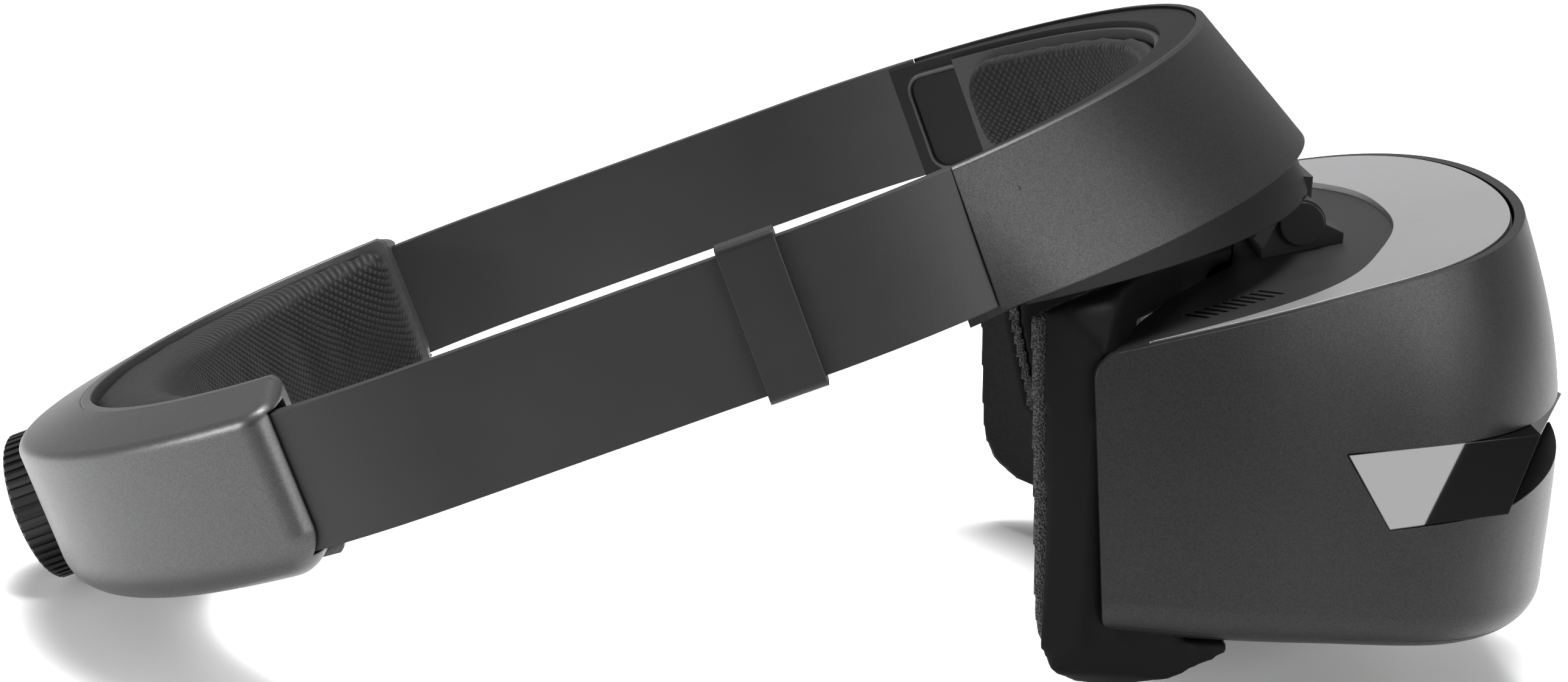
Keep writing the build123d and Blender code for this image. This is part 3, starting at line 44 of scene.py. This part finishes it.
RISE = Vector((0, sin(BAND_PITCH), cos(BAND_PITCH)))
FRONT_CENTRE = 0.0987  # the front liner's centre, back of the band's front
REAR_CENTRE = 0.1655  # the rear liner's centre
FRONT_PAD_RADIUS = 0.0877  # the wall that each pad is glued to
REAR_PAD_RADIUS = 0.0763
GLUE_DEPTH = 0.0025  # how deep a pad is held from that wall
MESH_PITCH = 0.0017  # of the pads' mesh fabric
MESH_ARC = 0.07  # the radius at which its diagonals are laid out

# The round wall of the face cushion, which leans forward.
FACE_CENTRE = Vector((0, 0.0407, 0.065))
FACE_AXIS = Vector((0, sin(radians(4.3)), cos(radians(4.3))))
FACE_RADIUS = 0.1187
VELVET_DEPTH = 0.0022  # how far inside that wall the velvety face begins
VELVET_FACING = 0.6  # how straight a face has to look at the wearer to be velvet

# The raised border round each end of the front liner: its angles from the rear, and its rises.
BORDER_RADIUS = 0.0891
BORDER_START = pi - 0.924
BORDER_END = pi - 1.146
BORDER_TOP = -0.0034
BORDER_LOW = -0.0262
BORDER_CORNER = 0.004
CORNER_STEPS = 6
BEAD_RADIUS = 0.0006

FLOOR_HALF = 6.0
FLOOR_HEIGHT = -0.0005


def band_point(x, back, rise):
    """A point given in the headband's own plane."""
    return BAND_FRONT + Vector((x, 0, 0)) + BACK * back + RISE * rise


def arc_point(centre, radius, angle, rise):
    """A point on a round wall of the headband: angle 0 is the rear, and +90 degrees the wearer's left."""
    return band_point(radius * sin(angle), centre + radius * cos(angle), rise)


# ---------------------------------------------------------------- shader building
class Shader:
    """A material's node tree, with short calls that add nodes to it."""

    def __init__(self, name):
        self.material = bpy.data.materials.new(name)
        self.material.use_nodes = True
        self.tree = self.material.node_tree
        self.surface = self.tree.nodes["Principled BSDF"]
        coordinates = self.add("ShaderNodeTexCoord").outputs
        self.object_place = coordinates["Object"]
        self.object_normal = coordinates["Normal"]

    def add(self, kind, **settings):
        node = self.tree.nodes.new(kind)
        for key, value in settings.items():
            setattr(node, key, value)
        return node

    def join(self, output, socket):
        self.tree.links.new(output, socket)

    def feed(self, node, **inputs):
        """Sets sockets by name, with a number, a colour or another node's output."""
        for key, value in inputs.items():
            socket = node.inputs[key.replace("_", " ")]
            if isinstance(value, bpy.types.NodeSocket):
                self.join(value, socket)
            else:
                socket.default_value = value
        return node

    def math(self, operation, first, second=None):
        node = self.add("ShaderNodeMath", operation=operation)
        for socket, value in zip(node.inputs, (first, second)):
            if isinstance(value, bpy.types.NodeSocket):
                self.join(value, socket)
            elif value is not None:
                socket.default_value = value
        return node.outputs[0]

    def noise(self, scale, detail=2.0):
        node = self.add("ShaderNodeTexNoise")
        self.feed(node, Scale=scale, Detail=detail, Vector=self.object_place)
        return node.outputs["Fac"]

    def cells(self, scale):
        node = self.add("ShaderNodeTexVoronoi")
        self.feed(node, Scale=scale, Vector=self.object_place)
        return node

    def spread(self, value, low, high):
        """A value from 0 to 1, spread over another range."""
        node = self.add("ShaderNodeMapRange")
        self.feed(node, Value=value)
        node.inputs["To Min"].default_value = low
        node.inputs["To Max"].default_value = high
        return node.outputs["Result"]

    def ramp(self, value, *stops):
        """A colour ramp from (place, colour) stops."""
        node = self.add("ShaderNodeValToRGB")
        elements = node.color_ramp.elements
        while len(elements) < len(stops):
            elements.new(0.5)
        for element, (place, colour) in zip(elements, stops):
            element.position = place
            element.color = (*colour, 1)
        self.feed(node, Fac=value)
        return node.outputs["Color"]

    def finish(self, height=None, depth=0.0, strength=1.0, edge=0.0, **surface):
        """Bump from a height, edges softened by a radius, and the surface's own sockets."""
        normal = None
        if edge:
            bevel = self.add("ShaderNodeBevel", samples=4)
            bevel.inputs["Radius"].default_value = edge
            normal = bevel.outputs["Normal"]
        if height is not None:
            bump = self.feed(self.add("ShaderNodeBump"), Height=height, Distance=depth, Strength=strength)
            if normal is not None:
                self.join(normal, bump.inputs["Normal"])
            normal = bump.outputs["Normal"]
        if normal is not None:
            self.join(normal, self.surface.inputs["Normal"])
        self.feed(self.surface, **surface)
        return self.material


def grey(value):
    """A grey with a trace of blue."""
    return (value, value, value * 1.02)


def painted(name, dark, light, metallic, roughness, edge):
    """Satin paint with fine metal flakes."""
    shader = Shader(name)
    flakes = shader.cells(7000.0).outputs["Color"]
    flake = shader.add("ShaderNodeSeparateColor")
    shader.feed(flake, Color=flakes)
    cloud = shader.noise(35.0)
    flake_share = shader.math("MULTIPLY", flake.outputs[0], 0.75)
    tone = shader.math("ADD", flake_share, shader.math("MULTIPLY", cloud, 0.25))
    return shader.finish(
        height=shader.noise(1800.0),
        depth=0.00001,
        strength=0.25,
        edge=edge,
        Base_Color=shader.ramp(tone, (0.1, grey(dark)), (0.9, grey(light))),
        Roughness=shader.spread(flake.outputs[1], roughness - 0.05, roughness + 0.05),
        Metallic=metallic,
        Specular_IOR_Level=0.25,
    )


def moulded(name, tone, roughness, grain=900.0, depth=0.00003, edge=0.0, specular=0.5):
    """Moulded plastic or rubber with a fine matte grain and a slightly uneven sheen."""
    shader = Shader(name)
    cloud = shader.noise(60.0)
    return shader.finish(
        height=shader.noise(grain, 4.0),
        depth=depth,
        strength=0.5,
        edge=edge,
        Base_Color=shader.ramp(cloud, (0.25, grey(tone * 0.85)), (0.75, grey(tone * 1.15))),
        Roughness=shader.spread(cloud, roughness - 0.04, roughness + 0.04),
        Specular_IOR_Level=specular,
    )


def metal(name, colour, roughness):
    """Machined metal with fine turning marks."""
    shader = Shader(name)
    marks = shader.noise(2200.0, 3.0)
    return shader.finish(
        height=marks,
        depth=0.00001,
        strength=0.3,
        Base_Color=shader.ramp(marks, (0.2, [c * 0.8 for c in colour]), (0.8, colour)),
        Roughness=shader.spread(marks, roughness - 0.06, roughness + 0.06),
        Metallic=1.0,
    )


def mesh_fabric(name, centre, rear):
    """Black spacer mesh: a diamond lattice round the headband's arc, and straight rows on the shoulders."""
    shader = Shader(name)
    place = shader.add("ShaderNodeMapping", vector_type="TEXTURE")
    shader.join(shader.object_place, place.inputs["Vector"])
    place.inputs["Location"].default_value = BAND_FRONT + BACK * centre
    place.inputs["Rotation"].default_value = (-BAND_PITCH, 0, 0)
    axes = shader.add("ShaderNodeSeparateXYZ")
    shader.join(place.outputs["Vector"], axes.inputs[0])
    x, y, z = axes.outputs
    turn = shader.math("ARCTAN2", x, y if rear else shader.math("MULTIPLY", y, -1.0))
    squares = [shader.math("MULTIPLY", axis, axis) for axis in (x, y)]
    radius = shader.math("SQRT", shader.math("ADD", *squares))
    along = shader.math("MULTIPLY", turn, MESH_ARC)
    down = shader.math("SUBTRACT", z, radius)

    def wave(distance):
        """A row of round threads, one to each pitch."""
        phase = shader.math("MULTIPLY", distance, pi / MESH_PITCH)
        return shader.math("ABSOLUTE", shader.math("SINE", phase))

    first = wave(shader.math("ADD", along, down))
    second = wave(shader.math("SUBTRACT", along, down))
    lattice = shader.math("MULTIPLY", first, second)
    rows = wave(along)
    upward = shader.add("ShaderNodeVectorMath", operation="DOT_PRODUCT")
    shader.join(shader.object_normal, upward.inputs[0])
    upward.inputs[1].default_value = RISE
    shoulder = shader.add("ShaderNodeMapRange", interpolation_type="SMOOTHSTEP")
    shader.join(upward.outputs["Value"], shoulder.inputs["Value"])
    shoulder.inputs["From Min"].default_value = 0.3
    shoulder.inputs["From Max"].default_value = 0.75
    share = shoulder.outputs["Result"]
    weave = shader.math(
        "ADD",
        shader.math("MULTIPLY", lattice, shader.math("SUBTRACT", 1.0, share)),
        shader.math("MULTIPLY", rows, share),
    )
    thread = shader.noise(2500.0, 3.0)
    height = shader.math("ADD", weave, shader.math("MULTIPLY", thread, 0.25))
    return shader.finish(
        height=height,
        depth=0.00035,
        strength=0.9,
        Base_Color=shader.ramp(height, (0.1, grey(0.002)), (0.9, grey(0.009))),
        Roughness=shader.spread(weave, 0.85, 0.6),
        Specular_IOR_Level=0.25,
        Sheen_Weight=0.03,
        Sheen_Roughness=0.4,
    )


def velvet(name):
    """The cushion's velvety black face."""
    shader = Shader(name)
    pile = shader.noise(1600.0, 6.0)
    return shader.finish(
        height=pile,
        depth=0.0002,
        strength=0.6,
        Base_Color=shader.ramp(pile, (0.3, grey(0.002)), (0.7, grey(0.007))),
        Roughness=0.95,
        Specular_IOR_Level=0.15,
        Sheen_Weight=0.03,
        Sheen_Roughness=0.5,
    )


def foam(name):
    """Open-cell foam, grey-black with fine speckles."""
    shader = Shader(name)
    pores = shader.cells(2600.0).outputs["Distance"]
    speck = shader.noise(2000.0, 4.0)
    height = shader.math("ADD", shader.math("MULTIPLY", pores, 0.8), shader.math("MULTIPLY", speck, 0.4))
    return shader.finish(
        height=height,
        depth=0.0004,
        strength=0.9,
        Base_Color=shader.ramp(height, (0.3, grey(0.004)), (0.5, grey(0.014)), (0.7, grey(0.075))),
        Roughness=0.95,
    )


def gloss(name, tone, roughness, specular):
    """Polished dark plastic, with a very faint unevenness."""
    shader = Shader(name)
    wave = shader.noise(25.0)
    return shader.finish(
        edge=0.00025,
        Base_Color=shader.ramp(wave, (0.3, grey(tone)), (0.7, grey(tone * 1.3))),
        Roughness=shader.spread(wave, roughness, roughness * 1.4),
        Specular_IOR_Level=specular,
    )


def clear_lens(name):
    """Clear moulded plastic with faint concentric steps."""
    shader = Shader(name)
    steps = shader.noise(400.0)
    return shader.finish(
        height=steps,
        depth=0.00001,
        strength=0.1,
        Base_Color=shader.ramp(steps, (0.0, (0.85, 0.88, 0.9)), (1.0, (0.92, 0.94, 0.95))),
        Roughness=0.03,
        Transmission_Weight=0.9,
        IOR=1.49,
    )


def circuit(name):
    """A circuit board: green mask with fine copper tracks."""
    shader = Shader(name)
    tracks = shader.cells(320.0).outputs["Distance"]
    return shader.finish(
        height=tracks,
        depth=0.0001,
        strength=0.4,
        Base_Color=shader.ramp(tracks, (0.1, (0.05, 0.16, 0.09)), (0.4, (0.015, 0.08, 0.045))),
        Roughness=0.4,
    )


def dress(material, *names):
    """Gives CAD nodes or pieces a material."""
    for name in names:
        mesh = bpy.data.objects[name].data
        mesh.materials.clear()
        mesh.materials.append(material)


dress(painted("graphite_paint", 0.022, 0.042, 0.7, 0.4, 0.0003), "front_band_shell", "visor_shell")
dress(painted("casing_paint", 0.075, 0.12, 0.75, 0.4, 0.0006), "rear_casing", "rear_liner")
dress(painted("silver_satin", 0.36, 0.43, 0.7, 0.36, 0.0002), "top_plate")
dress(moulded("liner_plastic", 0.003, 0.5, edge=0.0003, specular=0.2), "front_band_liner", "lower_skirt")
dress(moulded("tray_plastic", 0.009, 0.5, edge=0.0003, specular=0.35), "top_tray", "hinge_base")
dress(moulded("hinge_plastic", 0.009, 0.38, edge=0.0004), "hinge_bracket", "hinge_caps")
dress(moulded("inner_plastic", 0.015, 0.6), "inner_frame", "display_carrier", "forehead_pad_plate")
dress(moulded("inner_moulding", 0.02, 0.6), "lens_barrel_left", "lens_barrel_right", "adjuster_base")
dress(moulded("strap_plastic", 0.012, 0.5, 1400.0, edge=0.0004), "strap_left", "strap_right")
dress(moulded("keeper_plastic", 0.012, 0.42, 1400.0, edge=0.0004), "cable_keeper")
dress(moulded("dial_black", 0.006, 0.42, 1400.0, edge=0.0002, specular=0.35), "size_dial")
dress(moulded("module_black", 0.012, 0.45), "camera_left", "camera_right", "headphone_jack", "cable_socket")
dress(moulded("acetal", 0.6, 0.4), "dial_bush", "rack_left", "rack_right", "dial_pinion", "friction_washers")
dress(gloss("window_black", 0.001, 0.015, 0.12), "camera_window")
dress(gloss("display_glass", 0.006, 0.08, 0.5), "display_left", "display_right", "sensor_window")
dress(clear_lens("lens_clear"), "lens_left", "lens_right")
dress(circuit("board_green"), "main_board")
dress(metal("bracket_aluminium", (0.6, 0.6, 0.61), 0.35), "camera_bracket")
dress(metal("pin_steel", (0.55, 0.55, 0.56), 0.25), "hinge_pin")
dress(
    metal("screw_steel", (0.2, 0.2, 0.21), 0.35),
    "strap_screws",
    "bracket_screws",
    "adjuster_screws",
    "dial_screw",
    "visor_screws",
)


# ---------------------------------------------------------------- soft pieces
def copy_of(node, name):
    """A new object with a CAD node's mesh, welded so that modifiers see one surface."""
    mesh = nodes[node].data.copy()
    piece = bpy.data.objects.new(name, mesh)
    bpy.context.scene.collection.objects.link(piece)
    form = bmesh.new()
    form.from_mesh(mesh)
    bmesh.ops.remove_doubles(form, verts=form.verts, dist=1e-6)
    form.to_mesh(mesh)
    form.free()
    if mesh.has_custom_normals:
        bpy.context.view_layer.objects.active = piece
        bpy.ops.mesh.customdata_custom_splitnormals_clear()
    return piece


def applied(piece):
    """Replaces a piece's mesh by its shape with all its modifiers."""
    graph = bpy.context.evaluated_depsgraph_get()
    mesh = bpy.data.meshes.new_from_object(piece.evaluated_get(graph))
    piece.modifiers.clear()
    piece.data = mesh
    return piece


def smoothed(piece, iterations):
    """Adds a modifier that relaxes the piece's surface."""
    smooth = piece.modifiers.new("smooth", "SMOOTH")
    smooth.iterations = iterations
    smooth.factor = 0.5


def remeshed(piece, voxel, smoothing):
    """The piece rebuilt from even voxels, and smoothed."""
    remesh = piece.modifiers.new("remesh", "REMESH")
    remesh.mode = "VOXEL"
    remesh.voxel_size = voxel
    remesh.use_smooth_shade = True
    smoothed(piece, smoothing)
    return applied(piece)


PUFF_STEPS = 20  # frames of the cloth run


def puff(piece, held, pressure, cap):
    """Blows the piece up as cloth, by the cap at most. held(point) says 1 where it is glued, and else 0."""
    rest = [vertex.co.copy() for vertex in piece.data.vertices]
    group = piece.vertex_groups.new(name="glued")
    for index, point in enumerate(rest):
        group.add([index], held(point), "REPLACE")
    cloth = piece.modifiers.new("cloth", "CLOTH")
    cloth.settings.quality = 6
    cloth.settings.mass = 0.3
    cloth.settings.tension_stiffness = 12
    cloth.settings.compression_stiffness = 12
    cloth.settings.use_pressure = True
    cloth.settings.uniform_pressure_force = pressure
    cloth.settings.vertex_group_mass = "glued"
    cloth.settings.effector_weights.gravity = 0
    scene = bpy.context.scene
    for step in range(1, PUFF_STEPS + 1):
        scene.frame_set(step)
    applied(piece)
    for vertex, start in zip(piece.data.vertices, rest):
        moved = vertex.co - start
        if moved.length > cap:
            vertex.co = start + moved * (cap / moved.length)
    scene.frame_set(1)


def subdivide(piece, smoothing):
    """Smooths the piece and divides its faces once."""
    smoothed(piece, smoothing)
    finer = piece.modifiers.new("finer", "SUBSURF")
    finer.levels = 1
    finer.render_levels = 1
    applied(piece)


def shade_smooth(piece):
    """Gives every face of the piece smooth shading."""
    for face in piece.data.polygons:
        face.use_smooth = True


def hold(piece, body, slot_name, *replaced):
    """Puts a new piece on its body, and hides the CAD nodes that it replaces."""
    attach(piece, body)
    if replaced:
        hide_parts(*replaced)


def near_wall(centre, radius):
    """A function that is 1 on a pad's glued side, which lies on a round wall, and 0 away from it."""

    def held(point):
        back = (point - BAND_FRONT).dot(BACK)
        return 1.0 if hypot(point.x, back - centre) > radius - GLUE_DEPTH else 0.0

    return held


def make_pad(node, name, body, centre, radius, material, voxel, cap):
    """A mesh-covered pad on a round wall of the headband. The cap is how far the cloth may swell."""
    pad = remeshed(copy_of(node, name), voxel, 3)
    puff(pad, near_wall(centre, radius), 4.0, cap)
    subdivide(pad, 3)
    shade_smooth(pad)
    hold(pad, body, "mesh_fabric", node)
    dress(material, name)


make_pad(
    "forehead_pad",
    "forehead_cushion",
    "headband",
    FRONT_CENTRE,
    FRONT_PAD_RADIUS,
    mesh_fabric("forehead_mesh", FRONT_CENTRE, rear=False),
    voxel=0.0016,
    cap=0.0015,
)
make_pad(
    "rear_pad",
    "rear_cushion",
    "rear_housing",
    REAR_CENTRE,
    REAR_PAD_RADIUS,
    mesh_fabric("rear_mesh", REAR_CENTRE, rear=True),
    voxel=0.0022,
    cap=0.0025,
)


def soft_skin(node, name, voxel, smoothing, slot_name, material):
    """A soft moulded piece on the visor: the CAD form with rounded, slightly relaxed edges."""
    piece = remeshed(copy_of(node, name), voxel, smoothing)
    shade_smooth(piece)
    hold(piece, "visor", slot_name, node)
    dress(material, name)
    return piece


gasket_rubber = moulded("gasket_rubber", 0.0015, 0.65, 1500.0, 0.00001, specular=0.12)
soft_skin("face_gasket", "gasket_skin", 0.0012, 4, "gasket_soft", gasket_rubber)
soft_skin("nose_flap", "nose_flap_skin", 0.0004, 2, "gasket_soft", gasket_rubber)
cushion = soft_skin("face_cushion", "face_foam", 0.0007, 2, "cushion_foam", foam("foam_edge"))
cushion.data.materials.append(velvet("velvet_face"))
for face in cushion.data.polygons:
    spot = face.center - FACE_CENTRE
    outward = spot - FACE_AXIS * spot.dot(FACE_AXIS)
    inside = outward.length < FACE_RADIUS - VELVET_DEPTH
    if inside and face.normal.dot(-outward.normalized()) > VELVET_FACING:
        face.material_index = 1


# ---------------------------------------------------------------- beads on the band's inner wall
def bead(name, points, body, slot_name, material):
    """A thin round bead along points: a mesh that is taken from a curve."""
    curve = bpy.data.curves.new(name + "_path", "CURVE")
    curve.dimensions = "3D"
    curve.bevel_depth = BEAD_RADIUS
    curve.bevel_resolution = 3
    spline = curve.splines.new("POLY")
    spline.points.add(len(points) - 1)
    for spot, point in zip(spline.points, points):
        spot.co = (*point, 1)
    path = bpy.data.objects.new(name + "_path", curve)
    bpy.context.scene.collection.objects.link(path)
    graph = bpy.context.evaluated_depsgraph_get()
    piece = bpy.data.objects.new(name, bpy.data.meshes.new_from_object(path.evaluated_get(graph)))
    bpy.data.objects.remove(path)
    bpy.context.scene.collection.objects.link(piece)
    hold(piece, body, slot_name)
    piece.data.materials.append(material)


def liner_border(side):
    """The border's path round the end of the front liner: side is 1 on the left and -1 on the right."""
    turn = BORDER_CORNER / BORDER_RADIUS
    quarters = [step / CORNER_STEPS * pi / 2 for step in range(CORNER_STEPS + 1)]
    path = [(BORDER_START, BORDER_TOP)]
    for share in quarters:
        path.append((BORDER_END + turn * (1 - sin(share)), BORDER_TOP - BORDER_CORNER * (1 - cos(share))))
    for share in quarters:
        path.append((BORDER_END + turn * (1 - cos(share)), BORDER_LOW + BORDER_CORNER * (1 - sin(share))))
    path.append((BORDER_START, BORDER_LOW))
    return [arc_point(FRONT_CENTRE, BORDER_RADIUS, side * angle, rise) for angle, rise in path]


bead_plastic = moulded("bead_plastic", 0.02, 0.5)
for side_name, side in (("left", 1), ("right", -1)):
    bead(f"liner_border_{side_name}", liner_border(side), "headband", "dark_plastic", bead_plastic)


# ---------------------------------------------------------------- camera, light and floor
def aimed(obj, place, target):
    """Places an object and points its -Z at a target."""
    obj.location = place
    obj.rotation_mode = "QUATERNION"
    obj.rotation_quaternion = (Vector(target) - Vector(place)).to_track_quat("-Z", "Y")
    bpy.context.scene.collection.objects.link(obj)
    return obj


def softbox(name, place, target, width, height, power, spread=180):
    """A plain rectangular area light; spread is its beam in degrees."""
    light = bpy.data.lights.new(name, "AREA")
    light.shape = "RECTANGLE"
    light.size = width
    light.size_y = height
    light.energy = power
    light.spread = radians(spread)
    return aimed(bpy.data.objects.new(name, light), place, target)


camera_data = bpy.data.cameras.new("camera")
camera_data.sensor_width = 36.0
camera_data.lens = 69.88  # both in millimetres
camera_data.clip_start = 0.01
camera_data.clip_end = 50.0
camera = bpy.data.objects.new("camera", camera_data)
bpy.context.scene.collection.objects.link(camera)
view_right = Vector((0.00235, -0.99889, 0.04711)).normalized()
view_ahead = Vector((0.97875, -0.00736, -0.20493)).normalized()
view_up = view_right.cross(view_ahead).normalized()
camera.matrix_world = Matrix.Translation((-0.624, 0.0052, 0.18885)) @ Matrix(
    (view_right, view_up, -view_ahead)
).transposed().to_4x4()
bpy.context.scene.camera = camera

floor_mesh = bpy.data.meshes.new("floor")
floor_mesh.from_pydata(
    [(x * FLOOR_HALF, y * FLOOR_HALF, FLOOR_HEIGHT) for x, y in ((-1, -1), (1, -1), (1, 1), (-1, 1))],
    [],
    [(0, 1, 2, 3)],
)
floor = bpy.data.objects.new("floor", floor_mesh)
bpy.context.scene.collection.objects.link(floor)
floor_shader = Shader("floor_paper")
floor_grain = floor_shader.noise(40.0)
floor_mesh.materials.append(
    floor_shader.finish(
        Base_Color=floor_shader.ramp(floor_grain, (0.0, (0.93, 0.93, 0.93)), (1.0, (0.96, 0.96, 0.96))),
        Roughness=0.9,
        Specular_IOR_Level=0.1,
    )
)

# The world is bright on the side that the camera looks towards, and dim behind it.
world = bpy.data.worlds.new("studio")
bpy.context.scene.world = world
world.use_nodes = True
sky = world.node_tree
direction = sky.nodes.new("ShaderNodeTexCoord").outputs["Generated"]
toward = sky.nodes.new("ShaderNodeVectorMath")
toward.operation = "DOT_PRODUCT"
toward.inputs[1].default_value = (0.8, 0, 0.6)
sky.links.new(direction, toward.inputs[0])
shade = sky.nodes.new("ShaderNodeMapRange")
shade.interpolation_type = "SMOOTHSTEP"
sky.links.new(toward.outputs["Value"], shade.inputs["Value"])
shade.inputs["From Min"].default_value = -0.5
shade.inputs["From Max"].default_value = 0.4
shade.inputs["To Min"].default_value = 0.02
shade.inputs["To Max"].default_value = 0.35
sky.links.new(shade.outputs["Result"], sky.nodes["Background"].inputs["Strength"])
sky.nodes["Background"].inputs["Color"].default_value = (1, 1, 1, 1)

# Each softbox: where it stands, where it points, then its size in metres, its watts and its beam.
softbox("backdrop", (1.15, 0, 1.0), (1.15, 0, 0), width=2.5, height=3.0, power=38.0, spread=30)
softbox("overhead", (0.2, -0.1, 1.1), (0, 0, 0.06), width=0.6, height=1.0, power=1.2, spread=60)
softbox("front_box", (-0.45, -1.0, 0.5), (0, -0.1, 0.1), width=0.6, height=0.6, power=0.75, spread=60)
softbox("side_box", (-0.85, -0.8, 0.33), (-0.07, -0.11, 0.08), width=0.4, height=0.25, power=0.5, spread=60)
softbox("rear_box", (-0.5, 1.0, 0.25), (0, 0.1, 0.06), width=0.6, height=0.4, power=1.4, spread=60)

# A rolled card that lights the camera window alone. The glossy window mirrors it as a slanted bright panel.
CARD_ROLL = radians(-25)
card = softbox(
    "window_card", (-0.252, -0.225, 0.02), (-0.079, -0.114, 0.053), width=0.1, height=0.12, power=1.5
)
card.rotation_quaternion = card.rotation_quaternion @ Quaternion((0, 0, 1), CARD_ROLL)
card.visible_camera = False
mirrored = bpy.data.collections.new("mirrored_in_window")
mirrored.objects.link(bpy.data.objects["camera_window"])
card.light_linking.receiver_collection = mirrored

bpy.context.scene.view_settings.view_transform = "Standard"
